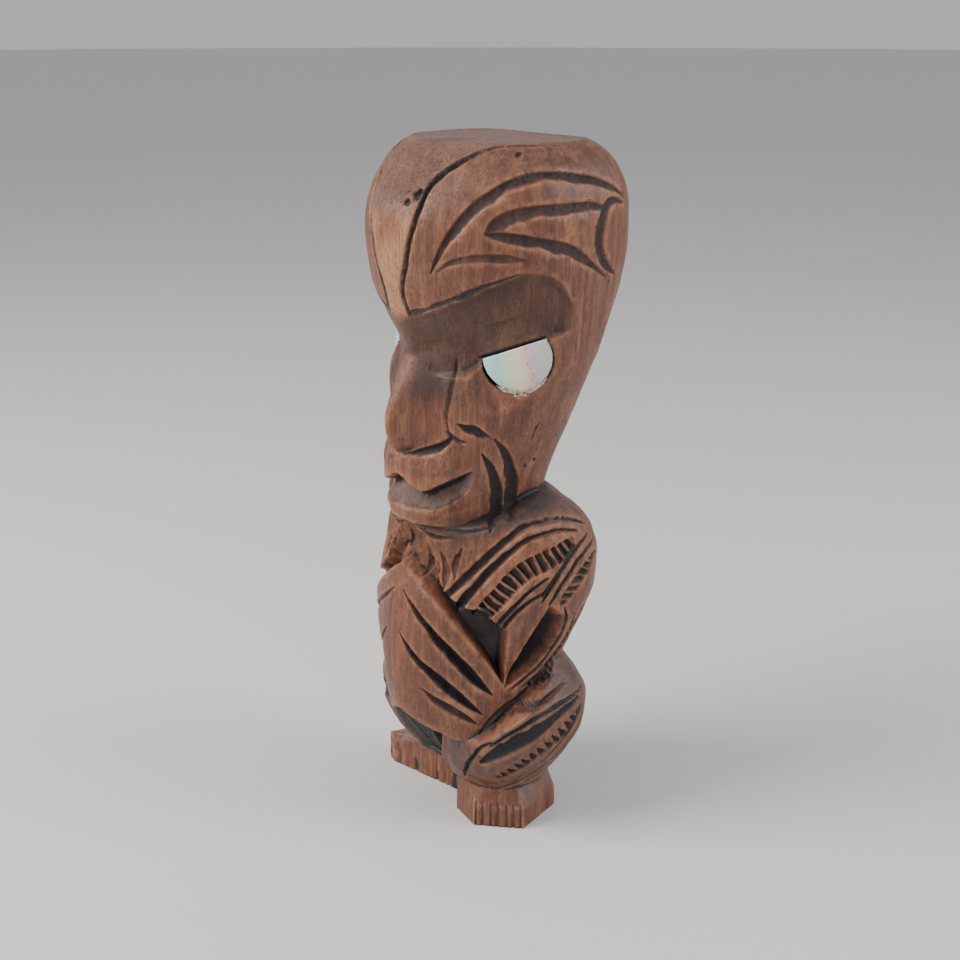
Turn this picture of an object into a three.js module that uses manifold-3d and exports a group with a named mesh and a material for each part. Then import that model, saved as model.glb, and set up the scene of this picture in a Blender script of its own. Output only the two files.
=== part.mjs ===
// A standing tiki figure carved from one block of dark wood, with two half-moon shell eyes.
// Millimetres, +Z up, front towards -Y, the figure's own left at +X, soles on Z = 0.
// The body is one surface: its radius from the upright axis is worked out from the bearing
// (0 degrees at the front, positive towards the figure's left) and the height.
import * as THREE from "three";
import { mergeVertices } from "three/addons/utils/BufferGeometryUtils.js";
import Module from "manifold-3d";

const wasm = await Module();
wasm.setup();

// Driving sizes
const HEIGHT = 210;
const COLUMNS = 46;
const FRONT_DENSITY = 0.7;
const GAP_HALF_WIDTH = 4.6;
const GAP_TOP = 35;
const EYE_RADIUS = 10;
const EYE_CHORD_ABOVE_CENTRE = 2.4;
const EYE_TILT = 20;
const EYE_FACING = 50;
const EYE_CENTRE = new THREE.Vector3(27.3, -8.6, 151.4);
const SHELL_THICKNESS = 2.4;
const FIT_GAP = 0.3;

// Colours and finishes
const WOOD = { color: 0x6b3a22, roughness: 0.5, metalness: 0 };
const SHELL = { color: 0xb9d4c8, roughness: 0.2, metalness: 0 };

// Level sections of each mass: height, half width, front depth, front squareness,
// back depth, back squareness. A squareness of 2 is an ellipse and 1 is a diamond.
const HEAD = [
  [90, 20, 28, 2.1, 10.5, 3.2],
  [98, 20.5, 29.3, 2.1, 11.2, 3.2],
  [104, 21.3, 31, 2.05, 11.8, 3.2],
  [110, 22.5, 31.6, 1.95, 13, 3.1],
  [117, 24.5, 31.2, 1.8, 15, 3.1],
  [125, 27, 28.6, 1.65, 18, 3.1],
  [138, 30.5, 26.6, 1.5, 22.8, 3.1],
  [151, 33.5, 26.8, 1.47, 26.6, 3.1],
  [160, 35.5, 29.6, 1.6, 30, 3.2],
  [170, 37, 32.4, 1.7, 33.2, 3.4],
  [182, 38, 34, 1.72, 35.1, 3.5],
  [194, 38, 34.2, 1.74, 35.1, 3.5],
  [210, 38, 34.2, 1.76, 35.1, 3.5],
];
const TORSO = [
  [20, 26, 26, 1.8, 12, 3.5],
  [33, 27.5, 30, 1.8, 13, 3.5],
  [40, 28, 32, 1.75, 14, 3.5],
  [48, 28.5, 33.5, 1.72, 15, 3.5],
  [54, 29, 34, 1.7, 17, 3.5],
  [60, 31, 34.3, 1.76, 19.3, 3.5],
  [70, 34.5, 33.7, 1.72, 22.5, 3.5],
  [80, 37, 31.5, 1.6, 24.6, 3.6],
  [89, 37.5, 28.8, 1.5, 24.9, 3.6],
  [96, 36, 28, 1.5, 23.8, 3.5],
  [100.5, 33, 27.5, 1.55, 21.4, 3.3],
  [104, 27.5, 26.5, 1.7, 17.4, 3.2],
  [110, 18, 24, 2, 10, 3.2],
  [116, 10, 20, 2, 6, 3.2],
];
const LEGS = [
  [0, 24.5, 14.5, 3, 14.5, 3.2],
  [12, 24.5, 14.5, 3, 14.5, 3.2],
  [14.5, 25.4, 15.5, 3, 14.5, 3.2],
  [19, 28.6, 18.5, 3.6, 14.6, 3.4],
  [26, 33.8, 20.5, 3.8, 16.7, 3.4],
  [34, 36.3, 21.5, 3.2, 20.4, 3.5],
  [42, 36.5, 23, 2.8, 22, 3.5],
  [47, 34, 24, 2.4, 21, 3.5],
  [52, 30, 24, 2.3, 18.5, 3.5],
  [60, 24, 22, 2.3, 14, 3.5],
];

// Lines across the surface: bearing in degrees, height.
const NECK = [[0, 100], [32, 99.6], [51, 101], [72, 104.6], [100, 107.8], [180, 109]];
const WAIST = [[0, 39], [22, 33.5], [38, 31], [51, 33.5], [71, 42], [105, 54.5], [140, 56], [180, 56]];
const HAND_RIDGE = [[0, 86.5], [15, 81.5], [35, 72.6], [51, 61.4], [65, 49.7], [75, 41]];
const BROW_TOP = [
  [0, 160], [9, 163], [23, 165], [35, 168], [47, 171], [58, 174], [72, 177], [82, 176], [90, 172],
  [96, 166],
];
const BROW_LOW = [[0, 151], [10, 149.5], [23, 150], [40, 150.6], [56, 153], [69, 156.5], [85, 159.4], [96, 160]];

// The nose: height, ridge depth, half width and depth of its foot.
const NOSE = [
  [118, 24, 14, 23],
  [121, 29.5, 14.2, 22.8],
  [123.5, 33.5, 14.4, 22.6],
  [127, 35.6, 14.2, 22.4],
  [131, 36, 13.2, 22],
  [136, 34.6, 11.5, 21.5],
  [142, 31.6, 10, 21.5],
  [150, 27.6, 8, 21],
  [158, 23, 6, 20],
];

// Outlines of the feet seen from above, from the inner front corner round to the heel.
const LEFT_FOOT = [[5, -13.4], [16.7, -15.9], [28.2, -5.6], [22.4, 12.5], [6, 14.5]];
const RIGHT_FOOT = [[5, -11.5], [16.5, -14.2], [36.6, -9.6], [28.5, 12.5], [6, 14.5]];
const LEFT_TOE_HEIGHT = 7;
const RIGHT_TOE_HEIGHT = 10;
const ANKLE_HEIGHT = 13;

const BROW_DEPTH = 4.8;
const NOSE_LIFT = 0.13;
const VALLEY_DEPTH = 5;
const CROWN_FILL = 0.955;
const LINE_SOFTNESS = 0.6;

// Grooves cut on both sides: bearing and height of the points, width, depth.
const GROOVES = [
  { path: [[9, 165], [10.5, 176], [16, 186], [23, 196], [33, 203.5]], width: 2, depth: 1.3 },
  { path: [[26, 176], [40, 189], [58, 198], [77, 202], [100, 201], [118, 197]], width: 2.8, depth: 1.6 },
  { path: [[54, 187.5], [66, 192], [85, 193.3], [110, 192.5]], width: 3, depth: 1.6 },
  { path: [[54, 187], [75, 184.7], [94, 181], [112, 173.5]], width: 3, depth: 1.6 },
  { path: [[121, 193.5], [112, 192.6], [108.3, 185], [113.5, 175.7]], width: 2.6, depth: 1.5 },
  { path: [[30, 176.5], [47, 180.2], [71, 180]], width: 2, depth: 1 },
  { path: [[53.5, 123], [60.5, 115], [64.5, 108], [60, 103.5]], width: 2.8, depth: 1.6 },
  { path: [[60.5, 127], [71, 119], [76, 112], [73, 106]], width: 2.8, depth: 1.6 },
  { path: [[38, 132.5], [48, 131.6], [57, 128.5]], width: 2.4, depth: 1.4 },
  { path: [[3, 79.5], [23, 69.6], [40, 59], [57.5, 48]], width: 3.6, depth: 3 },
  { path: [[5, 65], [28, 53.2], [52, 41]], width: 3.6, depth: 3 },
  { path: [[17, 48.5], [33, 42.5], [49, 37.5]], width: 3.2, depth: 2 },
  { path: [[113, 99.5], [89, 101.5], [70, 98.5], [51, 90], [31, 78.5]], width: 2.4, depth: 1.5 },
  { path: [[104, 98.5], [79, 96.6], [60, 88], [43, 76.5]], width: 2.4, depth: 1.5 },
  { path: [[97, 92], [84, 84], [66, 73.5], [56, 70]], width: 2.4, depth: 1.5 },
  { path: [[113, 96], [100, 89.5], [90, 79]], width: 2.4, depth: 1.5 },
  { path: [[117, 90], [107, 79], [103, 69]], width: 2.4, depth: 1.5 },
  { path: [[112, 44], [84, 41.5], [66, 34], [53, 25]], width: 3.4, depth: 1.8 },
  { path: [[110, 37], [92, 30.5], [74, 21.5], [58, 17]], width: 3, depth: 1.6 },
  { path: [[100, 50], [80, 47], [64, 40]], width: 3, depth: 1.6 },
];
const GROOVE_STEPS = 2;
const GROOVE_RISE = 1.2;

// The mouth: its middle line as bearing and height, with the opening's height at each point.
const MOUTH = [[-49, 117, 0.4], [-34, 111.4, 4], [-16, 107.7, 5.4], [0, 107.3, 5.6], [16, 107.7, 5.4], [34, 111.4, 4],
  [49, 117, 0.4]];
const MOUTH_DEPTH = 3.4;

// The hollow in the crook of each arm: bearing, height and depth of its corners.
const CROOK = [[86, 77, 8.5], [65, 48.5, 5.5], [93, 57.5, 1], [98, 70.5, 1.5]];

function smoothStep(low, high, x) {
  const t = THREE.MathUtils.clamp((x - low) / (high - low), 0, 1);
  return t * t * (3 - 2 * t);
}

function smoothMin(a, b, width) {
  const h = THREE.MathUtils.clamp(0.5 + (0.5 * (b - a)) / width, 0, 1);
  return b * (1 - h) + a * h - width * h * (1 - h);
}

function smoothMax(a, b, width) {
  return -smoothMin(-a, -b, width);
}

// A cubic through a table's rows that never overshoots them. Column 0 holds the places.
function slopes(table, column) {
  const last = table.length - 1;
  const span = (i) => table[i + 1][0] - table[i][0];
  const rise = (i) => (table[i + 1][column] - table[i][column]) / span(i);
  return table.map((row, i) => {
    if (i === 0) return rise(0);
    if (i === last) return rise(last - 1);
    const before = rise(i - 1);
    const after = rise(i);
    if (before * after <= 0) return 0;
    const w1 = 2 * span(i) + span(i - 1);
    const w2 = span(i) + 2 * span(i - 1);
    return (w1 + w2) / (w1 / before + w2 / after);
  });
}

const slopeStore = new Map();

function tableAt(table, x, column = 1) {
  if (!slopeStore.has(table)) slopeStore.set(table, []);
  const kept = slopeStore.get(table);
  if (!kept[column]) kept[column] = slopes(table, column);
  let i = 0;
  while (i < table.length - 2 && x > table[i + 1][0]) i += 1;
  const width = table[i + 1][0] - table[i][0];
  const t = THREE.MathUtils.clamp((x - table[i][0]) / width, 0, 1);
  const u = 1 - t;
  return (
    (1 + 2 * t) * u * u * table[i][column] +
    t * u * u * width * kept[column][i] +
    t * t * (3 - 2 * t) * table[i + 1][column] -
    t * t * u * width * kept[column][i + 1]
  );
}

// Radius of a level section whose front and back halves are superellipses.
function sectionRadius(table, bearing, z) {
  const angle = THREE.MathUtils.degToRad(bearing);
  const across = Math.abs(Math.sin(angle)) / tableAt(table, z, 1);
  const front = Math.cos(angle) > 0;
  const along = Math.abs(Math.cos(angle)) / tableAt(table, z, front ? 2 : 4);
  const power = tableAt(table, z, front ? 3 : 5);
  return (across ** power + along ** power) ** (-1 / power);
}

// The crown is rounded over, most of all at the front, and ends at a crisp rim.
function crownDrop(side) {
  return 19 + 7 * (1 - smoothStep(40, 95, side));
}

function crownLoss(side, z) {
  const drop = crownDrop(side);
  const depth = 12.2 + 2.8 * (1 - smoothStep(40, 95, side));
  const u = CROWN_FILL * THREE.MathUtils.clamp((z - HEIGHT + drop) / drop, 0, 1);
  return (depth * (1 - Math.sqrt(1 - u * u))) / (1 - Math.sqrt(1 - CROWN_FILL ** 2));
}

// The hollow between the brow and the top of the eye, deepest just over the eye.
function socketLoss(side, z) {
  const top = tableAt(BROW_TOP, side);
  const low = tableAt(BROW_LOW, side);
  const v = (top - z) / (top - low);
  const profile =
    smoothStep(0, 0.16, v) *
    (0.35 + 0.65 * THREE.MathUtils.clamp(v, 0, 1)) *
    (1 - smoothStep(0.93, 1.12, v));
  const share = (0.4 + 0.6 * smoothStep(36, 60, side)) * smoothStep(3, 16, side);
  return BROW_DEPTH * profile * share * (1 - smoothStep(88, 96, side));
}

// Two flat sides that fall back from a blunt ridge and rise a little to the wings.
function noseRadius(side, z) {
  const angle = THREE.MathUtils.degToRad(side);
  const level = z - NOSE_LIFT * side;
  const ridge = tableAt(NOSE, level, 1);
  const halfWidth = tableAt(NOSE, level, 2);
  const foot = tableAt(NOSE, level, 3);
  const flank = ridge / (Math.cos(angle) + (Math.sin(angle) * (ridge - foot)) / halfWidth);
  return smoothMin(flank, (ridge - 0.9) / Math.cos(angle), 1.2);
}

function headRadius(bearing, z) {
  const side = Math.abs(bearing);
  const r = sectionRadius(HEAD, bearing, z) - crownLoss(side, z) - socketLoss(side, z);
  if (z < NOSE[0][0] || z > NOSE.at(-1)[0] || side > 50) return r;
  const nose = smoothMax(r, noseRadius(side, z), 1.6);
  return r + (nose - r) * (1 - smoothStep(29, 37, side));
}

function torsoRadius(bearing, z) {
  const side = Math.abs(bearing);
  const above = z - tableAt(HAND_RIDGE, side);
  const valley = smoothStep(-0.4, 2.8, above) * (1 - smoothStep(5, 13, above));
  const share = (1 - smoothStep(60, 72, side)) * (0.55 + 0.45 * smoothStep(5, 30, side));
  return sectionRadius(TORSO, bearing, z) - VALLEY_DEPTH * valley * share;
}

// Radius at which a ray from the axis leaves a foot's outline.
function outlineRadius(corners, side) {
  const angle = THREE.MathUtils.degToRad(side);
  let r = Infinity;
  for (let i = 0; i + 1 < corners.length; i += 1) {
    const [x0, y0] = corners[i];
    const [x1, y1] = corners[i + 1];
    const reach = (y1 - y0) * x0 - (x1 - x0) * y0;
    const lean = (y1 - y0) * Math.sin(angle) + (x1 - x0) * Math.cos(angle);
    const away = reach / lean;
    if (away > 0) r = Math.min(r, away);
  }
  return r;
}

function legRadius(bearing, z) {
  if (z >= ANKLE_HEIGHT) return sectionRadius(LEGS, bearing, z);
  const toe = bearing > 0 ? LEFT_TOE_HEIGHT : RIGHT_TOE_HEIGHT;
  const foot = outlineRadius(bearing > 0 ? LEFT_FOOT : RIGHT_FOOT, Math.abs(bearing));
  const ankle = Math.min(foot, sectionRadius(LEGS, bearing, ANKLE_HEIGHT - 1));
  const t = THREE.MathUtils.clamp((z - toe) / (ANKLE_HEIGHT - toe), 0, 1);
  return foot + (ankle - foot) * t;
}

function figureRadius(bearing, z) {
  const side = Math.abs(bearing);
  const neck = tableAt(NECK, side);
  const waist = tableAt(WAIST, side);
  const overNeck = smoothStep(-LINE_SOFTNESS, LINE_SOFTNESS, z - neck);
  const overWaist = smoothStep(-LINE_SOFTNESS, LINE_SOFTNESS, z - waist);
  const upper = THREE.MathUtils.lerp(torsoRadius(bearing, z), headRadius(bearing, z), overNeck);
  return THREE.MathUtils.lerp(legRadius(bearing, z), upper, overWaist);
}

// Heights of the rings of the surface at one bearing: they follow the lines of the carving.
function ringHeights(bearing) {
  const side = Math.abs(bearing);
  const waist = tableAt(WAIST, side);
  const neck = tableAt(NECK, side);
  const ridge = Math.max(tableAt(HAND_RIDGE, side), waist + 4);
  const valleyEnd = Math.min(ridge + 8, neck - 3);
  const low = tableAt(BROW_LOW, side);
  const top = tableAt(BROW_TOP, side);
  const tall = top - low;
  const crown = HEIGHT - crownDrop(side);
  const stops = [
    [0, 1],
    [bearing > 0 ? LEFT_TOE_HEIGHT : RIGHT_TOE_HEIGHT, 1],
    [ANKLE_HEIGHT, 5],
    [waist - LINE_SOFTNESS, 1],
    [waist + LINE_SOFTNESS, 5],
    [ridge - 0.4, 1],
    [Math.min(ridge + 2.8, neck - 6), 1],
    [valleyEnd, 4],
    [neck - LINE_SOFTNESS, 1],
    [neck + LINE_SOFTNESS, 8],
    [low - 0.12 * tall, 1],
    [low + 0.07 * tall, 1],
    [top - 0.16 * tall, 1],
    [top, 3],
    [Math.max(crown, top + 3), 5],
    [HEIGHT, 0],
  ];
  const heights = [];
  stops.slice(0, -1).forEach(([from, parts], i) => {
    const to = stops[i + 1][0];
    // The last stretch is the crown, whose rings crowd towards the rim.
    const ease = i === stops.length - 2 ? (t) => Math.sin((t * Math.PI) / 2) : (t) => t;
    for (let k = 0; k < parts; k += 1) heights.push(from + (to - from) * ease(k / parts));
  });
  heights.push(HEIGHT);
  return heights;
}

const ROWS = ringHeights(0).length - 1;

// Moves each vertex of a capped cylinder: place takes its turn (0 to 1 from -180 degrees),
// its height share and its share of the radius, which is 0 only at the caps' middles.
function reshape(sides, steps, place) {
  const geometry = new THREE.CylinderGeometry(1, 1, 1, sides, steps);
  const position = geometry.getAttribute("position");
  for (let i = 0; i < position.count; i += 1) {
    const x = position.getX(i);
    const y = position.getY(i);
    const z = position.getZ(i);
    const turn = Math.round((Math.atan2(x, z) / (2 * Math.PI)) * sides);
    const level = Math.round((y + 0.5) * steps);
    const p = place(turn, level, Math.round(Math.hypot(x, z)));
    position.setXYZ(i, p.x, p.y, p.z);
  }
  return geometry;
}

function onSurface(bearing, z, out = 0) {
  const angle = THREE.MathUtils.degToRad(bearing);
  const r = figureRadius(bearing, z) + out;
  return new THREE.Vector3(r * Math.sin(angle), -r * Math.cos(angle), z);
}

// Columns stand closer at the front, where the carving is.
function columnBearing(turn) {
  const f = turn / (COLUMNS / 2);
  return 180 * (FRONT_DENSITY * f + (1 - FRONT_DENSITY) * f ** 3);
}

function bodyGeometry() {
  return reshape(COLUMNS, ROWS, (turn, level, rim) => {
    const half = COLUMNS / 2;
    const bearing = columnBearing(turn === -half ? half : turn);
    const z = ringHeights(bearing)[level];
    return rim ? onSurface(bearing, z) : new THREE.Vector3(0, 0, z);
  });
}

function solidOf(geometry) {
  const bare = geometry.clone();
  bare.deleteAttribute("normal");
  bare.deleteAttribute("uv");
  const merged = mergeVertices(bare, 1e-4);
  return new wasm.Manifold(
    new wasm.Mesh({
      numProp: 3,
      vertProperties: new Float32Array(merged.getAttribute("position").array),
      triVerts: new Uint32Array(merged.index.array),
    }),
  );
}

function geometryOf(solid) {
  const mesh = solid.getMesh();
  const geometry = new THREE.BufferGeometry();
  geometry.setAttribute("position", new THREE.BufferAttribute(mesh.vertProperties, 3));
  geometry.setIndex(new THREE.BufferAttribute(mesh.triVerts, 1));
  geometry.computeVertexNormals();
  return geometry;
}

// A three-sided gouge along a smooth path: its point lies under the surface and its two
// other edges stand proud of it. Its ends taper to nothing.
function gouge(path, widthAt, depthAt, steps) {
  const curve = new THREE.CatmullRomCurve3(path.map(([b, z]) => new THREE.Vector3(b, z, 0)));
  const at = (t) => {
    const p = curve.getPoint(THREE.MathUtils.clamp(t, 0, 1));
    return { bearing: p.x, z: p.y };
  };
  return reshape(3, steps, (turn, level, rim) => {
    const t = level / steps;
    const here = at(t);
    const before = at(t - 0.02);
    const after = at(t + 0.02);
    const middle = onSurface(here.bearing, here.z);
    const angle = THREE.MathUtils.degToRad(here.bearing);
    const outward = new THREE.Vector3(Math.sin(angle), -Math.cos(angle), 0);
    const along = onSurface(after.bearing, after.z).sub(onSurface(before.bearing, before.z)).normalize();
    const across = new THREE.Vector3().crossVectors(outward, along).normalize();
    const up = new THREE.Vector3().crossVectors(along, across).normalize();
    const depth = depthAt(t);
    const rise = GROOVE_RISE;
    const widen = (depth + rise) / depth;
    const corner = turn === 0 ? [0, -depth] : [Math.sign(turn) * 0.5 * widthAt(t) * widen, rise];
    const [side, lift] = rim ? corner : [0, (2 * rise - depth) / 3];
    return middle.addScaledVector(across, side).addScaledVector(up, lift);
  });
}

function taper(t) {
  return 0.25 + 0.75 * Math.sin(Math.PI * t) ** 0.6;
}

function mirrorPath(path) {
  return path.map(([bearing, z, ...rest]) => [-bearing, z, ...rest]);
}

function grooveSolids({ path, width, depth }) {
  const steps = GROOVE_STEPS * (path.length - 1);
  const shape = [(t) => width * taper(t), (t) => depth * taper(t), steps];
  return [path, mirrorPath(path)].map((side) => solidOf(gouge(side, ...shape)));
}

function mouthSolid() {
  const last = MOUTH.length - 1;
  const opening = MOUTH.map((row, i) => [i / last, row[2]]);
  const depth = (t) => 0.3 + MOUTH_DEPTH * Math.sin(Math.PI * t) ** 0.5;
  return solidOf(gouge(MOUTH, (t) => tableAt(opening, t), depth, 4 * last));
}

function crookSolid(mirrored) {
  const corners = mirrored ? mirrorPath(CROOK).reverse() : CROOK;
  const centre = new THREE.Vector3();
  return solidOf(
    reshape(4, 1, (turn, level, rim) => {
      // Four turns, -2 and 2 being the same corner, taken so that the faces point out.
      const index = (turn + 4) % 4;
      const points = corners.map(([b, z, deep]) => onSurface(b, z, level ? 4 : -deep));
      if (rim) return points[index];
      centre.set(0, 0, 0);
      points.forEach((p) => centre.addScaledVector(p, 1 / points.length));
      return centre.clone();
    }),
  );
}

// The gap between the legs, cut right through from front to back under a round arch.
function gapSolid() {
  const reach = 60;
  const spring = GAP_TOP - GAP_HALF_WIDTH;
  const arch = new THREE.Shape();
  arch.moveTo(-GAP_HALF_WIDTH, -5);
  arch.lineTo(GAP_HALF_WIDTH, -5);
  arch.lineTo(GAP_HALF_WIDTH, spring);
  arch.absarc(0, spring, GAP_HALF_WIDTH, 0, Math.PI, false);
  const geometry = new THREE.ExtrudeGeometry(arch, { depth: 2 * reach, bevelEnabled: false, curveSegments: 8 });
  geometry.rotateX(Math.PI / 2);
  geometry.translate(0, reach, 0);
  return solidOf(geometry);
}

// A disc less the part over its chord, standing at an eye and facing out along +Z of its own.
function eyeGeometry(grow, back, front, side) {
  const radius = EYE_RADIUS + grow;
  const chord = EYE_CHORD_ABOVE_CENTRE + grow;
  const end = Math.asin(chord / radius);
  const outline = new THREE.Shape();
  outline.absarc(0, 0, radius, end, Math.PI - end, true);
  outline.closePath();
  const geometry = new THREE.ExtrudeGeometry(outline, { depth: front - back, bevelEnabled: false, curveSegments: 20 });
  geometry.translate(0, 0, back);
  const facing = THREE.MathUtils.degToRad(side * EYE_FACING);
  geometry.rotateZ(THREE.MathUtils.degToRad(side * EYE_TILT));
  geometry.rotateX(Math.PI / 2);
  geometry.rotateZ(facing);
  geometry.translate(side * EYE_CENTRE.x, EYE_CENTRE.y, EYE_CENTRE.z);
  return geometry;
}

function carvedFigure() {
  let figure = solidOf(bodyGeometry());
  const cuts = [gapSolid(), mouthSolid(), crookSolid(false), crookSolid(true)];
  GROOVES.forEach((groove) => cuts.push(...grooveSolids(groove)));
  [1, -1].forEach((side) => cuts.push(solidOf(eyeGeometry(FIT_GAP, -SHELL_THICKNESS - FIT_GAP, 16, side))));
  cuts.forEach((cut) => {
    figure = figure.subtract(cut);
  });
  return geometryOf(figure);
}

function namedMesh(name, geometry, finish) {
  const mesh = new THREE.Mesh(geometry, new THREE.MeshStandardMaterial(finish));
  mesh.name = name;
  return mesh;
}

const tiki = new THREE.Group();
tiki.add(namedMesh("carved_figure", carvedFigure(), WOOD));
tiki.add(namedMesh("left_eye_shell", eyeGeometry(0, -SHELL_THICKNESS, 0, 1), SHELL));
tiki.add(namedMesh("right_eye_shell", eyeGeometry(0, -SHELL_THICKNESS, 0, -1), SHELL));

export default tiki;
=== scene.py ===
"""A carved wooden tiki figure with shell eyes, on a pale floor in soft studio light."""

import math

import bpy
import numpy as np
from mathutils import Matrix


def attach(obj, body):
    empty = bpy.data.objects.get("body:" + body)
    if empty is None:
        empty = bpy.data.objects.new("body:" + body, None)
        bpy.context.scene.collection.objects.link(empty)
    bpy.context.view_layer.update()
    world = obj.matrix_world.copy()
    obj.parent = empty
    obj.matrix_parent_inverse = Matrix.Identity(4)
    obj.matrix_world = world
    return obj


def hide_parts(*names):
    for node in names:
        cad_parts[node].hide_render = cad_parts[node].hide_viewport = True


bl_info = {
    "name": "Carved tiki figure",
    "version": (1, 0, 0),
    "blender": (4, 5, 0),
    "location": "View3D > Sidebar > Tiki",
    "description": "Makes a carved wooden tiki figure with shell eyes and its pale studio",
    "category": "Add Mesh",
}

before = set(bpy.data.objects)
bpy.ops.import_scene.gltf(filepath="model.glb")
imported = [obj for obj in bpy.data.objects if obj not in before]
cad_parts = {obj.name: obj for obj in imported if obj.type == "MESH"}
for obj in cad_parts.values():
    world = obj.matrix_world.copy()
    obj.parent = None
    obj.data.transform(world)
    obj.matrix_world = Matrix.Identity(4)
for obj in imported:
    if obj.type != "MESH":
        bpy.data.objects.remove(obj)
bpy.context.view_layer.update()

MM = 0.001
HEIGHT = 210.0
LOW_ROWS = 560
CROWN_ROWS = 84
CROWN_START = 188.0
COLUMNS = 720
FRONT_DENSITY = 0.72
TRIANGLE_LIMIT = 194000

# Level sections of each mass: height, half width, front depth, front squareness,
# back depth, back squareness. A squareness of 2 is an ellipse and 1 is a diamond.
HEAD = [
    (90, 20, 28, 2.1, 10.5, 3.2),
    (98, 20.5, 29.3, 2.1, 11.2, 3.2),
    (104, 21.3, 31, 2.1, 11.8, 3.2),
    (110, 22.5, 31.6, 2.1, 13, 3.1),
    (117, 24.5, 31.2, 2.05, 15, 3.1),
    (125, 27.2, 28.6, 1.88, 18, 3.1),
    (138, 31.6, 26.6, 1.8, 22.8, 3.1),
    (145, 34.4, 26.5, 1.52, 24.8, 3.1),
    (151, 36.2, 26.8, 1.37, 26.6, 3.2),
    (160, 37, 29.6, 1.54, 30, 3.4),
    (170, 37.6, 32.4, 1.68, 33.2, 3.7),
    (182, 38, 34, 1.72, 35.1, 3.9),
    (194, 38, 34.2, 1.74, 35.1, 3.9),
    (210, 38, 34.2, 1.76, 35.1, 3.9),
]
TORSO = [
    (20, 26, 26, 1.8, 12, 3.5),
    (33, 27.5, 30, 1.8, 13, 3.5),
    (40, 28, 32, 1.75, 14, 3.5),
    (48, 28.3, 33.5, 1.72, 14.6, 3.5),
    (54, 28.6, 34, 1.7, 16, 3.5),
    (60, 30.6, 34.3, 1.76, 18.4, 3.5),
    (70, 34.3, 33.7, 1.72, 22.2, 3.5),
    (80, 37, 31.5, 1.6, 24.6, 3.6),
    (89, 37.5, 28.8, 1.5, 24.9, 3.6),
    (96, 36, 27.4, 1.5, 23.8, 3.5),
    (100.5, 33.4, 27, 1.55, 21.8, 3.3),
    (104, 28.6, 26.5, 1.7, 18.4, 3.2),
    (110, 20, 24, 2, 12, 3.2),
    (116, 10, 20, 2, 6, 3.2),
]
LEGS = [
    (0, 24.5, 14.5, 3, 14.5, 3.2),
    (12, 24.5, 14.5, 3, 14.5, 3.2),
    (14.5, 25.4, 15.5, 3, 14.5, 3.2),
    (19, 28.6, 18.5, 3.6, 14.6, 3.4),
    (26, 33.4, 20.5, 3.7, 16.5, 3.4),
    (34, 36.3, 21.5, 3.2, 20.4, 3.5),
    (42, 36.5, 23, 2.8, 22, 3.5),
    (47, 34, 24, 2.4, 21, 3.5),
    (52, 30, 24, 2.3, 18.5, 3.5),
    (60, 24, 22, 2.3, 14, 3.5),
]

# Lines across the surface: bearing in degrees, height.
NECK = [(0, 100), (32, 99.6), (51, 101), (72, 104.6), (100, 107.8), (180, 109)]
WAIST = [(0, 39), (22, 33.5), (38, 31), (51, 33.5), (71, 42), (105, 54.5), (140, 56), (180, 56)]
HAND_RIDGE = [(0, 86.5), (15, 81.5), (35, 72.6), (51, 61.4), (65, 49.7), (75, 41)]
HOLLOW_TOP = [(0, 93), (10, 91), (20, 85), (28, 80), (35, 77.4), (43, 75.2), (51, 74.6), (58, 71.6), (64, 68.6)]
FOREHEAD_LINE = [(163, 9), (169, 7.8), (178, 12.5), (185.6, 16), (193.3, 20.5), (199.4, 24.6), (203.6, 33), (209, 60)]
BROW_TOP = [
    (0, 160),
    (9, 163),
    (23, 165),
    (35, 168),
    (47, 171),
    (58, 174),
    (72, 177),
    (82, 176),
    (90, 172),
    (96, 166),
]
BROW_LOW = [
    (0, 151),
    (10, 148.5),
    (23, 147),
    (40, 147.4),
    (52, 150),
    (60, 152.6),
    (72, 155.6),
    (85, 158.6),
    (96, 160),
]
BROW_DEPTH = 4.8

# The nose: height, ridge depth, half width and depth of its foot.
NOSE = [
    (118, 24, 14, 23),
    (121, 29.5, 14.2, 22.6),
    (123.5, 33.5, 14.6, 22.2),
    (127, 35.6, 14.6, 22),
    (131, 36, 14, 21.6),
    (136, 34.6, 13.4, 21.2),
    (142, 31.6, 12.6, 21),
    (150, 27.6, 11.5, 20.6),
    (158, 23, 9, 20),
]
NOSE_LIFT = 0.13

# The mouth: bearing, height of the upper lip's edge and of the lower lip's edge.
LIP_UPPER = [(0, 114.6), (6, 113.4), (12, 111.6), (17, 110.8), (24, 112.4), (32, 114.4), (39, 116), (46, 117.6)]
LIP_LOWER = [(0, 105.4), (9, 105), (19, 105.2), (27, 105.9), (33, 107.5), (41, 110.4), (46, 113.4), (48, 117)]
MOUTH_DEPTH = 4.6

# Outlines of the feet seen from above, from the inner front corner round to the heel.
LEFT_FOOT = [(5, -13.4), (16.7, -15.9), (28.2, -5.6), (22.4, 12.5), (6, 14.5)]
RIGHT_FOOT = [(0, -5.4), (5.4, -6.2), (16.5, -14.2), (36.6, -9.6), (28.5, 12.5), (6, 14.5)]
LEFT_TOE = 7.0
RIGHT_TOE = 10.0
ANKLE = 13.0
GAP_HALF_WIDTH = 4.6
GAP_TOP = 35.0

# The eye shells.
EYE_RADIUS = 10.0
EYE_CHORD = 2.4
EYE_TILT = 20.0
EYE_FACING = 40.0
EYE_CENTRE = (28.0, -9.2, 151.6)
EYE_DOME = 1.6
SHELL_THICKNESS = 2.4

# The hollow in the crook of the arm: bearing and height of its corners.
CROOK = [(65, 48.5), (86, 77), (98, 71), (96, 60), (86, 54.5)]

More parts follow.
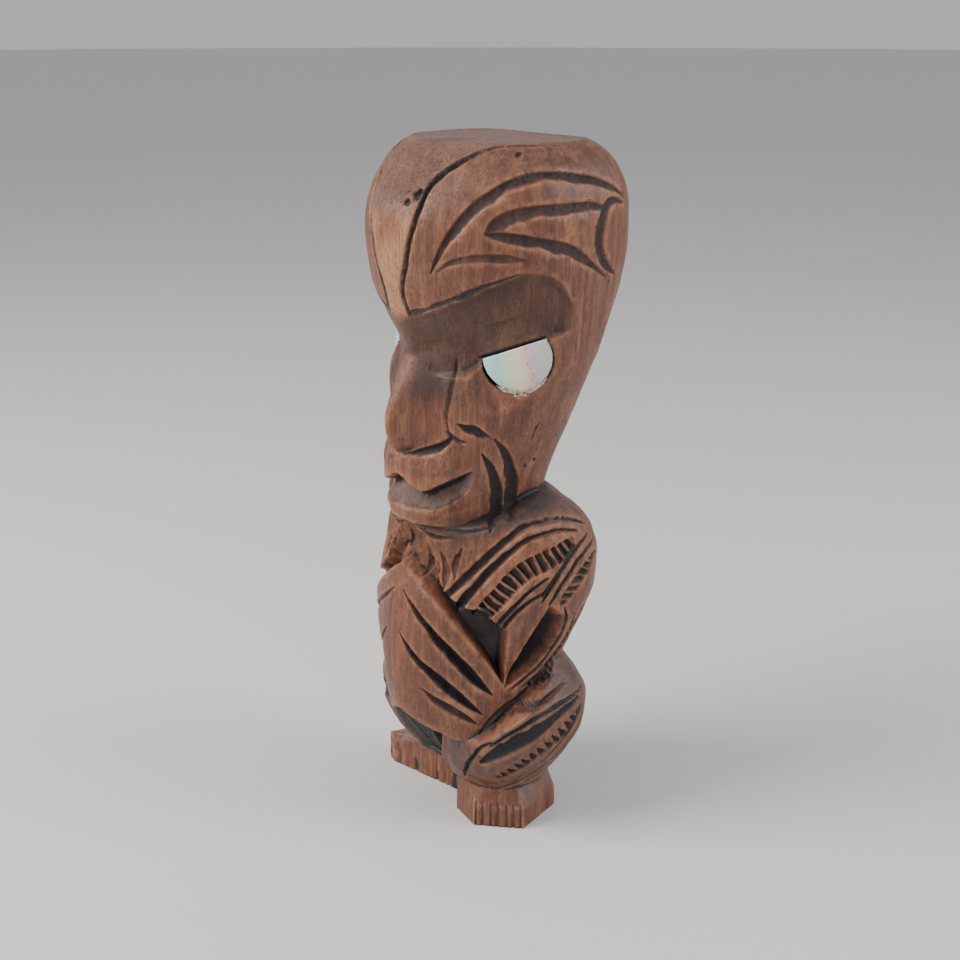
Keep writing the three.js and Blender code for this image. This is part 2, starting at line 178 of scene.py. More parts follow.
# Cuts: points as bearing, height and width, then depth, kind of cut, how dark it is painted,
# and the sides it is on. The dark is stain, and in the cut under the nose also painted shadow.
# A vee has straight walls and a scoop a round floor.
BOTH = (1, -1)
LEFT = (1,)
RIGHT = (-1,)
CUTS = [
    # Brow and forehead
    ([(9, 162.5, 1.4), (7.8, 169, 2.0), (12.5, 178, 2.1), (16, 185.6, 2.1), (20.5, 193.3, 2.2), (24.6, 199.4, 2.4),
      (33, 203.6, 2.4), (46.5, 207.1, 2), (60, 209, 1.4), (80, 209.5, 1), (100, 209.3, 0.6)], 1.5, "vee", 0.75, BOTH),
    ([(26.3, 175.6, 0.6), (33, 182.8, 2.4), (40, 188.6, 3.2), (48.7, 194, 3.5), (58, 197.7, 3.5), (67.6, 200.5, 3.4),
      (77, 201.9, 3.4), (86.4, 202, 3.3), (99.7, 201, 3.1), (110, 199.5, 2.7), (119, 196.8, 1.8), (124, 194.5, 0.6)],
     1.1, "scoop", 0.62, BOTH),
    ([(53.7, 187.6, 1), (56.5, 189, 3.4), (59.5, 190, 4.4), (66.5, 192.1, 4), (75, 193, 3.7), (94, 193.3, 3.3),
      (104, 193.3, 2.8), (111.5, 192.2, 1.4)], 1.1, "scoop", 0.6, BOTH),
    ([(53.4, 187, 1), (59, 186.4, 2.7), (65.4, 185.9, 3.3), (75, 184.6, 3.5), (84.5, 183.2, 3.9), (94.4, 181, 3.7),
      (102.7, 177.6, 2.7), (113, 172.8, 0.6)], 1.1, "scoop", 0.62, BOTH),
    ([(122.5, 193, 0.8), (116.6, 194.2, 2.4), (112, 192.6, 3.5), (109.7, 189, 4), (108.3, 184.8, 4.2), (109, 180, 3.8),
      (113.5, 175.7, 2.8), (118, 173.6, 1.2)], 1.1, "scoop", 0.7, BOTH),
    ([(29.6, 176.2, 0.5), (36.8, 178.8, 1.8), (47, 180.2, 2.4), (56, 180.4, 2.8), (65.6, 180.2, 2.4), (71.5, 179.8, 0.5)],
     0.6, "scoop", 0.5, BOTH),
    ([(9.4, 163, 2), (16, 164, 2.4), (22.7, 165, 1.3), (28, 166.3, 2.4), (35, 168, 1.5), (42, 169.6, 2.6), (47, 171, 2.2),
      (58, 173.7, 1.3), (69, 176, 0.7)], 0.7, "vee", 0.75, BOTH),
    # Nose, cheeks and round the eyes
    ([(52, 123, 0.5), (57.3, 118.8, 2.6), (61.2, 113.5, 3.6), (63.5, 109.2, 4.3), (62, 104.7, 4.2), (58, 101.6, 2.6),
      (57, 99.5, 1)], 1.3, "scoop", 0.75, BOTH),
    ([(59.8, 127.3, 0.5), (66.5, 122.8, 2.8), (70.8, 117.6, 3.8), (75.1, 111.4, 4.8), (74.5, 106.2, 4), (69, 103, 2)],
     1.3, "scoop", 0.75, BOTH),
    ([(37.5, 131.6, 0.5), (42, 130.5, 2.4), (47.5, 129.8, 3.4), (52, 128.6, 2.8), (57, 128, 0.5)], 1.3, "scoop", 0.7, BOTH),
    ([(34.8, 150, 0.6), (34.2, 145, 1.8), (32.7, 141, 2.2), (30.5, 136.5, 2.2), (29.8, 132, 1.6), (31.8, 129, 0.8)],
     0.8, "vee", 0.5, BOTH),
    ([(31, 129, 1.2), (34, 127.6, 2), (38, 126.6, 1.6), (43, 126.2, 0.5)], 0.9, "vee", 0.7, BOTH),
    # The cut under the nose: its dark is partly a painted shadow under the nose.
    ([(1.5, 120.8, 0.4), (8, 121.5, 1.2), (15, 122.6, 2.2), (23.5, 123.8, 2.8), (29, 125.2, 2.4), (34, 127.6, 1)],
     1.4, "scoop", 0.7, BOTH),
    ([(87, 131.5, 0.4), (85, 129, 1.4), (84, 126, 0.5)], 0.5, "vee", 0.7, LEFT),
    # Hands
    ([(4.2, 79, 0.3), (9, 76.4, 1), (15, 73.3, 1.8), (23.5, 68.6, 2.8), (32.5, 63, 3.9), (41.1, 57, 4.3), (50, 51.4, 3.2),
      (58.7, 47.1, 0.4)], 3.4, "vee", 0.95, LEFT),
    ([(5, 66, 0.3), (10, 62.3, 1.4), (18, 56.9, 2.6), (29.1, 50.9, 3.9), (41, 45.3, 3.3), (52.5, 40.6, 0.4)],
     3.2, "vee", 0.95, LEFT),
    ([(3, 78.8, 0.5), (8, 76.2, 1.3), (19, 71.9, 1.9), (30, 67, 2.6), (39, 62.7, 3.2), (50, 56, 0.6)],
     2.2, "vee", 0.7, RIGHT),
    ([(6, 65.6, 0.4), (10, 63, 1.4), (18, 57, 2.6), (29, 51, 3.6), (41, 45.3, 3.4), (52, 40.6, 0.4)],
     3.0, "vee", 0.8, RIGHT),
    ([(16.8, 48.9, 0.3), (23.8, 45.4, 2.3), (31.6, 42.7, 3.1), (40.7, 40.1, 2.3), (50, 37, 0.4)], 1.4, "scoop", 0.65, BOTH),
    # Chest, with the short strokes of a gouge
    ([(4.2, 97, 0.8), (4, 94, 2.4), (5, 91.5, 2.6), (12, 90.6, 1.2)], 1.7, "vee", 0.9, RIGHT),
    ([(26, 92, 0.6), (30.5, 86.5, 3), (29, 81, 1)], 1.0, "scoop", 0.35, BOTH),
    ([(20, 91, 0.6), (24.5, 86, 2.6), (22, 81.5, 0.8)], 0.9, "scoop", 0.35, BOTH),
    ([(40, 94, 0.6), (36.5, 89.5, 2.4), (36, 84.5, 0.6)], 0.8, "scoop", 0.4, BOTH),
    ([(12, 91.5, 0.6), (16, 87.5, 2.4), (13, 83.5, 0.6)], 0.8, "scoop", 0.35, BOTH),
    ([(8, 98, 0.6), (20, 96.2, 1.8), (34, 96.6, 0.6)], 0.7, "vee", 0.6, BOTH),
    ([(30, 98.8, 0.6), (44, 99, 1.9), (60, 101.2, 0.6)], 0.8, "vee", 0.75, BOTH),
    # Shoulder bands
    ([(112.2, 98.6, 1), (102.7, 101, 1.7), (88.6, 101.8, 2.2), (78.6, 101.3, 2.5), (69.8, 99, 2.7), (62.3, 95.5, 2.9),
      (55.1, 91.8, 3), (47.1, 87.6, 3), (40.4, 84.1, 2.8), (31, 79.4, 2.4)], 1.5, "scoop", 0.7, BOTH),
    ([(104.4, 97.6, 0.8), (95.3, 99, 1.4), (83.9, 98.8, 1.7), (73.9, 96.6, 2), (65.6, 92.9, 2.4), (56.5, 87.9, 2.8),
      (49, 83.4, 3), (38.5, 76, 2.8)], 1.7, "scoop", 0.8, BOTH),
    ([(84, 85.9, 0.8), (75.3, 82, 1.5), (69.5, 78.6, 1.8), (63.7, 74.6, 1.9), (59, 71, 1.6)], 1.3, "vee", 0.85, BOTH),
    ([(83, 81.6, 0.8), (77, 79.6, 1.3), (70.3, 76.3, 1.6), (64.8, 72.3, 1.7), (62.5, 69.6, 1.2)], 1.3, "vee", 0.85, BOTH),
    ([(100, 94, 1), (92.5, 89.2, 1.6), (86.5, 84.8, 1.6), (81.4, 80.4, 1.2)], 1.2, "vee", 0.85, BOTH),
    ([(110.2, 96, 0.8), (100, 92.6, 1.5), (91.9, 88.1, 1.6), (85.8, 82.8, 1.5), (81.6, 78.6, 1)], 1.3, "vee", 0.85, BOTH),
    ([(114.1, 93.6, 0.8), (102.5, 90.2, 1.9), (95.3, 85.3, 2), (89.2, 80.6, 1.8), (85.6, 77.2, 1)], 1.4, "vee", 0.85, BOTH),
    ([(96, 74.5, 0.6), (98.9, 70.9, 1.4), (99.7, 65.4, 1.7), (96.9, 60, 1.7), (91.7, 55.2, 1.6), (81.4, 51.7, 1.4),
      (71.2, 48.6, 0.8)], 1.3, "vee", 0.9, BOTH),
    ([(105, 71, 0.6), (106, 66, 1.4), (103.8, 60.3, 1.5), (98.8, 55.3, 1.5), (88.6, 51.2, 1.3), (78, 48.3, 0.6)],
     1.1, "vee", 0.85, BOTH),
    # Leg bands
    ([(97, 51.2, 0.6), (84, 48, 1.6), (74.5, 44.8, 1.8), (64.8, 42, 1.8), (57, 38.6, 1.5), (51, 34.4, 0.8)],
     0.9, "vee", 0.75, BOTH),
    ([(101, 48.4, 0.8), (87, 46.2, 2.4), (76, 44.1, 2.8), (67, 40.8, 2.4), (58, 36.2, 1)], 1.3, "scoop", 0.85, BOTH),
    ([(113, 45.3, 0.6), (92.8, 43.6, 1.5), (76.7, 41.4, 1.8), (66.2, 37.6, 1.7), (56.5, 32.4, 1)], 1.2, "vee", 0.9, BOTH),
    ([(106, 43.6, 0.8), (94, 40.9, 2.6), (80.9, 37.5, 4.4), (70.6, 34.9, 5.2), (61.2, 31, 5), (51.8, 25.6, 1.6)],
     1.8, "scoop", 0.95, BOTH),
    ([(109, 39.9, 0.5), (101, 34.6, 1.1), (93.8, 29.2, 1.4), (87.5, 24.2, 1.4), (80, 19.8, 1.4), (68, 16.8, 1.1),
      (58, 15.2, 0.5)], 0.9, "vee", 0.75, BOTH),
    ([(111, 37.6, 0.5), (104, 31.5, 1.1), (97.5, 25, 1.4), (91.5, 19.6, 1.5), (83.5, 16.4, 1.4), (70, 13.9, 1.1),
      (58, 12.7, 0.5)], 1.0, "vee", 0.8, BOTH),
    ([(57.3, 33.6, 0.8), (51.5, 31.2, 1.5), (46.5, 26.6, 1.7), (40, 19.6, 1.6), (36, 14.6, 0.8)], 1.2, "vee", 0.9, BOTH),
]

# Bands with cross notches: points as bearing, height and width, then depth, pitch and lean
# of the notches, and their style.
BANDS = [
    ([(99, 95.6, 2.2), (94, 93.8, 5), (84.7, 91.4, 6.4), (76.4, 89.2, 6.4), (69, 85.7, 6.2), (62.5, 81.5, 6), (55.5, 77.2, 6),
      (50.5, 74.6, 5)], 1.7, 2.75, 0.12, "rungs"),
    ([(113, 89.4, 2.5), (104.7, 84.9, 4.2), (98.9, 80.7, 4.4), (93.6, 77.2, 3.4)], 1.3, 2.9, 0.5, "rungs"),
    ([(107, 40.2, 1.4), (100.5, 37.2, 3.4), (92, 33.2, 4.8), (84, 30.2, 5), (76.5, 27.6, 5), (69, 24, 4.6), (62, 20.4, 2.6)],
     1.4, 2.9, 0.15, "teeth"),
    ([(112, 72.5, 2), (109.6, 67.1, 2.6), (107.1, 61.5, 2.8), (103.2, 56.8, 2.8), (94.6, 52, 2.6), (84, 48.9, 2)],
     1.2, 2.4, -0.4, "rungs"),
]
# Toe cuts: how far along the foot's front each is, and its width.
TOES = [(0.04, 1.0), (0.17, 1.7), (0.34, 1.2), (0.48, 1.9), (0.66, 1.3), (0.8, 1.8), (0.95, 1.2)]

# Small pits: bearing, height, radius and depth.
PITS = [
    (12.5, 194.5, 1.3, 0.9),
    (17.5, 196.4, 1.5, 1.0),
    (19, 197.6, 1.1, 0.8),
    (73, 207.6, 1.2, 0.8),
    (90, 119, 0.8, 0.4),
    (83, 117.5, 0.7, 0.35),
]

# Rough-hewn patches: middle bearing, height, half width in degrees, half height, strength.
PATCHES = [
    (20, 108.2, 28, 3.8, 0.8),
    (14, 91, 30, 9, 0.9),
    (36, 92, 18, 7, 0.8),
    (37, 24, 15, 8.5, 0.8),
    (60, 103, 46, 3, 0.6),
    (44, 143, 14, 8, 0.5),
    (20, 118.5, 16, 3, 0.7),
    (60, 168, 34, 9, 0.35),
    (8, 203, 26, 9, 0.9),
    (60, 206.5, 60, 3, 0.7),
    (48, 70, 20, 6, 0.5),
    (85, 64, 16, 14, 0.5),
]


def read_line(rows, x, column=1):
    """A cubic through the rows' values that never overshoots them; column 0 is the place.

    Each row's slope is the weighted harmonic mean of the slopes beside it, or none at a peak.
    """
    values = np.asarray(rows, float)
    xs = values[:, 0]
    ys = values[:, column]
    span = np.diff(xs)
    rise = np.diff(ys) / span
    slope = np.zeros_like(ys)
    near = 2 * span[1:] + span[:-1]
    far = span[1:] + 2 * span[:-1]
    same = rise[1:] * rise[:-1] > 0
    safe_before = np.where(same, rise[:-1], 1)
    safe_after = np.where(same, rise[1:], 1)
    slope[1:-1] = np.where(same, (near + far) / (near / safe_before + far / safe_after), 0)
    slope[0] = rise[0]
    slope[-1] = rise[-1]
    k = np.clip(np.searchsorted(xs, x) - 1, 0, len(xs) - 2)
    t = np.clip((x - xs[k]) / span[k], 0, 1)
    u = 1 - t
    return (
        (1 + 2 * t) * u * u * ys[k]
        + t * u * u * span[k] * slope[k]
        + t * t * (3 - 2 * t) * ys[k + 1]
        - t * t * u * span[k] * slope[k + 1]
    )


def ease(low, high, x):
    """A smooth step from 0 at low to 1 at high."""
    t = np.clip((x - low) / (high - low), 0, 1)
    return t * t * (3 - 2 * t)


def soft_min(a, b, width):
    """The lesser of two fields, with the crease between them rounded over that width."""
    h = np.clip(0.5 + 0.5 * (b - a) / width, 0, 1)
    return b * (1 - h) + a * h - width * h * (1 - h)


def soft_max(a, b, width):
    """The greater of two fields, with the crease between them rounded over that width."""
    return -soft_min(-a, -b, width)


def section_radius(rows, bearing, z):
    """Radius of a level section: a superellipse for the front half and one for the back."""
    angle = np.radians(bearing)
    half_width, front, front_power, back, back_power = (read_line(rows, z, c) for c in range(1, 6))
    ahead = np.cos(angle) > 0
    depth = np.where(ahead, front, back)
    power = np.where(ahead, front_power, back_power)
    across = np.abs(np.sin(angle)) / half_width
    along = np.abs(np.cos(angle)) / depth
    return (across**power + along**power) ** (-1 / power)


def head_radius(bearing, z):
    """The head's section less the rounding of the crown and the hollow under the brow.

    The nose is two flat flanks that fall back from a blunt ridge, joined to the face.
    """
    side = np.abs(bearing)
    angle = np.radians(side)
    r = section_radius(HEAD, bearing, z)
    front = 1 - ease(40, 95, side)
    drop = 19 + 7 * front
    loss = 12.2 + 2.8 * front
    fill = 0.955
    u = np.clip((z - HEIGHT + drop) / drop, 0, 1) * fill
    r = r - loss * (1 - np.sqrt(1 - u * u)) / (1 - math.sqrt(1 - fill**2))
    top = read_line(BROW_TOP, side)
    low = read_line(BROW_LOW, side)
    v = (top - z) / (top - low)
    sink = 0.65 * (1 - 0.9 * ease(42, 60, side))
    hollow = ease(0, 0.16, v) * (0.35 + sink * np.clip(v, 0, 1)) * (1 - ease(1.0, 1.14, v))
    share = (0.4 + 0.6 * ease(36, 60, side)) * ease(3, 16, side) * (1 - ease(88, 96, side))
    r = r - BROW_DEPTH * hollow * share
    level = z - NOSE_LIFT * side
    ridge = read_line(NOSE, level, 1)
    half_width = read_line(NOSE, level, 2)
    foot = read_line(NOSE, level, 3)
    flank = ridge / (np.cos(angle) + np.sin(angle) * (ridge - foot) / half_width + 1e-9)
    blunt = (ridge - 0.9) / np.maximum(np.cos(angle), 0.2)
    nose = soft_min(flank, blunt, 1.2)
    here = (z > 118) & (z < 158) & (side < 50)
    r = np.where(here, r + (soft_max(r, nose, 0.8) - r) * (1 - ease(31, 37, side)), r)
    return r - mouth_loss(side, z)


def mouth_place(side, z):
    """How far down the mouth's opening a height is: 0 at the upper lip and 1 at the lower."""
    upper = read_line(LIP_UPPER, side)
    lower = read_line(LIP_LOWER, side)
    return (upper - z) / np.maximum(upper - lower, 0.3)


def mouth_loss(side, z):
    """A sharp step in under the upper lip, a floor that slopes out, and a low lower edge."""
    m = mouth_place(side, z)
    step_in = ease(-0.05, 0.07, m)
    floor = 1 - 0.76 * np.clip(m, 0, 1)
    edge = 1 - ease(0.96, 1.05, m)
    return MOUTH_DEPTH * step_in * floor * edge * (1 - ease(36, 49, side))


def crook_depth(side, z):
    """Depth of the arm's hollow: a steep wall on its front edge, a floor rising to the rest."""
    squeeze = 0.56
    inside = []
    for (b0, z0), (b1, z1) in zip(CROOK, CROOK[1:] + CROOK[:1]):
        across = (b1 - b0) * squeeze
        up = z1 - z0
        length = math.hypot(across, up)
        inside.append((-(z - z0) * across + (side - b0) * squeeze * up) / length)
    wall = ease(-0.2, 1.2, inside[0])
    floor = np.minimum.reduce(inside[1:])
    return 9.0 * wall * np.clip(floor / 4.6, 0, 1) ** 0.75


def valley_share(side, z):
    """How much of the full depth the hollow over the hands has: it ends at a ragged step."""
    above = z - read_line(HAND_RIDGE, side)
    beyond = z - read_line(HOLLOW_TOP, side)
    slope = 8 - 6.2 * ease(18, 32, side)
    share = (1 - ease(62, 67, side)) * (0.55 + 0.45 * ease(5, 30, side))
    return ease(-0.4, 2.8, above) * (1 - ease(0, 1, beyond / slope)) * share


def torso_radius(bearing, z):
    """The torso's section less the hollow over the hands and the one in each arm's crook."""
    side = np.abs(bearing)
    return section_radius(TORSO, bearing, z) - 5.2 * valley_share(side, z) - crook_depth(side, z)


def outline_radius(corners, side):
    """Radius at which a ray from the axis leaves a foot's outline."""
    angle = np.radians(side)
    r = np.full(np.shape(side), 1e6)
    for (x0, y0), (x1, y1) in zip(corners[:-1], corners[1:]):
        reach = (y1 - y0) * x0 - (x1 - x0) * y0
        lean = (y1 - y0) * np.sin(angle) + (x1 - x0) * np.cos(angle)
        away = reach / np.where(np.abs(lean) < 1e-6, 1e-6, lean)
        r = np.where((away > 0) & (away < r), away, r)
    return r


def leg_recess(bearing, z):
    """Depth of the hollow between the knees: from the left knee's inner edge over the right leg."""
    near_edge = 9 + 0.75 * (z - 18)
    share = (1 - ease(-2.5, 2.5, bearing - near_edge)) * ease(-62, -50, bearing)
    return (6.5 - 2.5 * ease(16, 30, z)) * share * ease(11.5, 14, z)


def leg_radius(bearing, z):
    """The legs' section, and under the ankle a foot whose top slopes in to the ankle."""
    side = np.abs(bearing)
    left = bearing > 0
    foot = np.where(left, outline_radius(LEFT_FOOT, side), outline_radius(RIGHT_FOOT, side))
    toe = np.where(left, LEFT_TOE, RIGHT_TOE)
    ankle = np.minimum(foot, section_radius(LEGS, bearing, np.full(np.shape(z), ANKLE - 1)))
    t = np.clip((z - toe) / (ANKLE - toe), 0, 1)
    low = foot + (ankle - foot) * t
    return np.where(z < ANKLE, low, section_radius(LEGS, bearing, z) - leg_recess(bearing, z))


def figure_radius(bearing, z):
    """The whole figure: legs under the waist line, torso, and head over the neck line."""
    side = np.abs(bearing)
    over_neck = ease(-0.6, 0.6, z - read_line(NECK, side))
    over_waist = ease(-0.6, 0.6, z - read_line(WAIST, side))
    upper = torso_radius(bearing, z) * (1 - over_neck) + head_radius(bearing, z) * over_neck
    return leg_radius(bearing, z) * (1 - over_waist) + upper * over_waist


def place(bearing, z):
    """Points on the figure's surface: radius along the bearing, height straight up."""
    angle = np.radians(bearing)
    r = figure_radius(bearing, z)
    return np.stack([r * np.sin(angle), -r * np.cos(angle), z], axis=-1)


def noise_field(points, size, seed):
    """Random values from -1 to 1 on a cubic lattice of that size, blended smoothly between."""
    lattice = np.random.default_rng(seed).uniform(-1, 1, (24, 24, 24))
    q = np.asarray(points) / size
    cell = np.floor(q).astype(int)
    f = q - cell
    f = f * f * (3 - 2 * f)
    total = np.zeros(q.shape[:-1])
    for corner in np.ndindex(2, 2, 2):
        weight = np.ones(q.shape[:-1])
        index = []
        for axis in range(3):
            share = f[..., axis]
            weight = weight * (share if corner[axis] else 1 - share)
            index.append((cell[..., axis] + corner[axis]) % 24)
        total += weight * lattice[tuple(index)]
    return total


def soften(field, reach):
    """Mean of a grid's values over reach cells each way: round the columns, and up the rows."""
    wide = 2 * reach + 1
    turned = np.concatenate([field[:, -reach:], field, field[:, :reach]], axis=1)
    total = np.cumsum(np.pad(turned, [(0, 0), (1, 0)] + [(0, 0)] * (field.ndim - 2)), axis=1)
    level = (total[:, wide:] - total[:, :-wide]) / wide
    tall = np.concatenate([np.repeat(level[:1], reach, 0), level, np.repeat(level[-1:], reach, 0)])
    total = np.cumsum(np.pad(tall, [(1, 0), (0, 0)] + [(0, 0)] * (field.ndim - 2)), axis=0)
    return (total[wide:] - total[:-wide]) / wide


def smooth_path(points, samples):
    """A smooth curve through the points: at each, its slope is that between its neighbours."""
    p = np.asarray(points, float)
    gaps = np.hypot(np.diff(p[:, 0]) * 0.6, np.diff(p[:, 1]))
    knots = np.concatenate([[0], np.cumsum(gaps)])
    slope = np.gradient(p, knots, axis=0)
    x = np.linspace(0, knots[-1], samples)
    k = np.clip(np.searchsorted(knots, x) - 1, 0, len(knots) - 2)
    width = (knots[k + 1] - knots[k])[:, None]
    t = (x - knots[k])[:, None] / width
    u = 1 - t
    return (
        (1 + 2 * t) * u * u * p[k]
        + t * u * u * width * slope[k]
        + t * t * (3 - 2 * t) * p[k + 1]
        - t * t * u * width * slope[k + 1]
    )


class Carving:
    """The block's surface as a grid of points, and what the tools have taken off it."""

    def __init__(self):
        f = np.arange(COLUMNS) / COLUMNS * 2 - 1
        self.bearing = 180 * (FRONT_DENSITY * f + (1 - FRONT_DENSITY) * f**9)
        low = np.linspace(0, CROWN_START, LOW_ROWS, endpoint=False)
        turn = np.linspace(0, math.pi / 2, CROWN_ROWS)
        self.height = np.concatenate([low, CROWN_START + (HEIGHT - CROWN_START) * np.sin(turn)])
        self.b, self.z = np.meshgrid(self.bearing, self.height)
        self.points = place(self.b, self.z)
        self.normals = self.find_normals(soften(self.points, 3))
        shape = self.b.shape
        self.cut = np.zeros(shape)
        self.lift = np.zeros(shape)
        self.stain_and_shade = np.zeros(shape)
        self.rough = np.zeros(shape)

    @staticmethod
    def find_normals(points):
        """Outward normal at each grid point, from its neighbours along and up the grid."""
        round_way = np.roll(points, -1, axis=1) - np.roll(points, 1, axis=1)
        up_way = np.gradient(points, axis=0)
        normals = np.cross(round_way, up_way)
        return normals / np.maximum(np.linalg.norm(normals, axis=-1, keepdims=True), 1e-9)

    def near(self, path, reach):
        """Rows and columns of the grid points inside the path's box, grown by reach."""
        low = path.min(axis=0) - reach
        high = path.max(axis=0) + reach
        return np.nonzero(np.all((self.points > low) & (self.points < high), axis=-1))

    def along(self, path, where):
        """How far along the path each point is, and how far to its left, both in mm."""
        points = self.points[where]
        normals = self.normals[where]
        start = path[:-1]
        step = np.diff(path, axis=0)
        length = np.linalg.norm(step, axis=1)
        reached = np.concatenate([[0], np.cumsum(length)])
        best = np.full(len(points), np.inf)
        far = np.zeros(len(points))
        aside = np.zeros(len(points))
        for i, (origin, way, size) in enumerate(zip(start, step, length)):
            offset = points - origin
            t = np.clip(offset @ way / size**2, 0, 1)
            gap = offset - t[:, None] * way
            distance = np.linalg.norm(gap, axis=1)
            closer = distance < best
            left = np.einsum("ij,ij->i", np.cross(normals, way / size), gap)
            best = np.where(closer, distance, best)
            far = np.where(closer, reached[i] + t * size, far)
            aside = np.where(closer, np.where(left > 0, distance, -distance), aside)
        return far, aside, reached

    def groove(self, points, depth, kind, stain_and_shade, seed):
        """A cut along a path: a vee or a scoop across it, of the width given at each point.

        Its depth goes down with its width, and its edges wander a little.
        """
        flat = smooth_path(points, 64)
        path = place(flat[:, 0], flat[:, 1])
        widths = np.maximum(flat[:, 2], 0.2)
        where = self.near(path, widths.max())
        far, aside, reached = self.along(path, where)
        width = np.interp(far, reached, widths)
        wander = noise_field(self.points[where], 4.0, seed) + 0.5 * noise_field(self.points[where], 1.5, seed + 1)
        half = 0.5 * width * (1 + 0.16 * wander)
        across = np.abs(aside + 0.08 * width * wander) / half
        shape = 1 - across if kind == "vee" else (1 - across**3)
        deep = depth * (width / widths.max()) ** 0.6 * np.clip(shape, 0, 1)
        self.cut[where] = np.maximum(self.cut[where], deep)
        dark = stain_and_shade * (1 - ease(0.7, 1.12, across))
        self.stain_and_shade[where] = np.maximum(self.stain_and_shade[where], dark)
        if kind == "scoop":
            self.rough[where] = np.maximum(self.rough[where], 0.45 * (1 - ease(0.7, 1, across)))

    def band(self, points, depth, pitch, lean, style, seed):
        """A sunk band crossed by bars of wood left standing, straight or as teeth."""
        flat = smooth_path(points, 64)
        path = place(flat[:, 0], flat[:, 1])
        widths = np.maximum(flat[:, 2], 0.2)
        where = self.near(path, widths.max())
        far, aside, reached = self.along(path, where)
        width = np.interp(far, reached, widths)
        wander = noise_field(self.points[where], 3.0, seed)
        across = aside / (0.5 * width)
        inside = 1 - ease(0.84, 1.02, np.abs(across) + 0.05 * wander)
        beat = (far + lean * aside + 0.45 * wander) / pitch
        wave = np.abs(beat - np.round(beat)) * 2
        if style == "teeth":
            bar = 1 - ease(0.0, 0.3, wave - 0.95 * (0.5 - 0.5 * across))
        else:
            bar = 1 - ease(0.22, 0.52, wave + 0.14 * wander)
        deep = depth * inside * (1 - 0.75 * bar)
        self.cut[where] = np.maximum(self.cut[where], deep)
        dark = inside * (0.95 - 0.7 * bar)
        self.stain_and_shade[where] = np.maximum(self.stain_and_shade[where], dark)

    def pit(self, bearing, z, radius, depth):
        """A small round pit, ragged at its rim."""
        middle = place(np.array(bearing * 1.0), np.array(z * 1.0))
        distance = np.linalg.norm(self.points - middle, axis=-1) / radius
        distance = distance * (1 + 0.25 * noise_field(self.points, 1.0, 90))
        self.cut = np.maximum(self.cut, depth * np.clip(1 - distance**2, 0, 1))
        self.stain_and_shade = np.maximum(self.stain_and_shade, 0.9 * (1 - ease(0.6, 1.1, distance)))

    def toes(self):
        """Upright cuts down the front of each foot."""
        for side in (1, -1):
            toe = LEFT_TOE if side > 0 else RIGHT_TOE
            span = LEFT_FOOT[1:3] if side > 0 else RIGHT_FOOT[2:4]
            for i, (share, width) in enumerate(TOES):
                x = span[0][0] + (span[1][0] - span[0][0]) * share
                y = span[0][1] + (span[1][1] - span[0][1]) * share
                bearing = side * math.degrees(math.atan2(x, -y))
                points = [(bearing, -1.5, width), (bearing, toe * 0.5, width), (bearing, toe + 1, 0.5 * width)]
                self.groove(points, 0.5, "vee", 0.5, 70 + 2 * i)

    def eye_seat(self, side):
        """A flat seat round each shell, and a pocket under it.

        In the shell's own plane the outline is a circle less the part over a chord.
        """
        a, b, c, _ = eye_frame(side, self.points)
        inner = np.minimum(EYE_RADIUS - np.hypot(a, b), EYE_CHORD - b)
        angle = np.radians(self.b)
        radial = np.stack([np.sin(angle), -np.cos(angle), np.zeros_like(angle)], axis=-1)
        facing = eye_axes(side)[2]
        lean = np.maximum(radial @ facing, 0.3)
        close = (c > -8) & (inner > -9)
        rise = 0.1 + 0.32 * np.maximum(-inner - 1.0, 0)
        seat = np.where(close & (c > rise), (c - rise) / lean, 0)
        pocket = np.where(close, np.maximum(c + SHELL_THICKNESS + 0.3, 0) / lean, 0) * ease(-0.35, 0.0, inner)
        taken = np.maximum(seat, pocket)
        self.points = self.points - radial * taken[..., None]
        # Painted shade, partly stain: a dark ring in the pocket round each shell.
        self.stain_and_shade = np.maximum(self.stain_and_shade, 0.9 * ease(-1.2, -0.3, inner) * close)

    def lid(self, side):
        """A cut along the straight upper edge of each shell, painted dark: stain and a painted shadow under the brow's
        overhang.
        """
        a = np.linspace(-10.4, 10.2, 9)
        middle = from_eye(side, a, np.full(9, EYE_CHORD + 0.45), np.zeros(9))
        bearing = np.degrees(np.arctan2(middle[:, 0], -middle[:, 1]))
        widths = 1.7 - 0.9 * np.abs(a / 10.4) ** 3
        self.groove(np.stack([bearing, middle[:, 2], widths], -1), 0.9, "vee", 0.95, 85)

    def patch(self, bearing, z, wide, tall, strength):
        """A patch left rough by the gouge: short facets and torn fibres."""
        for side in (1, -1):
            d = np.hypot((self.b - side * bearing) / wide, (self.z - z) / tall)
            self.rough = np.maximum(self.rough, strength * (1 - ease(0.6, 1.1, d)))

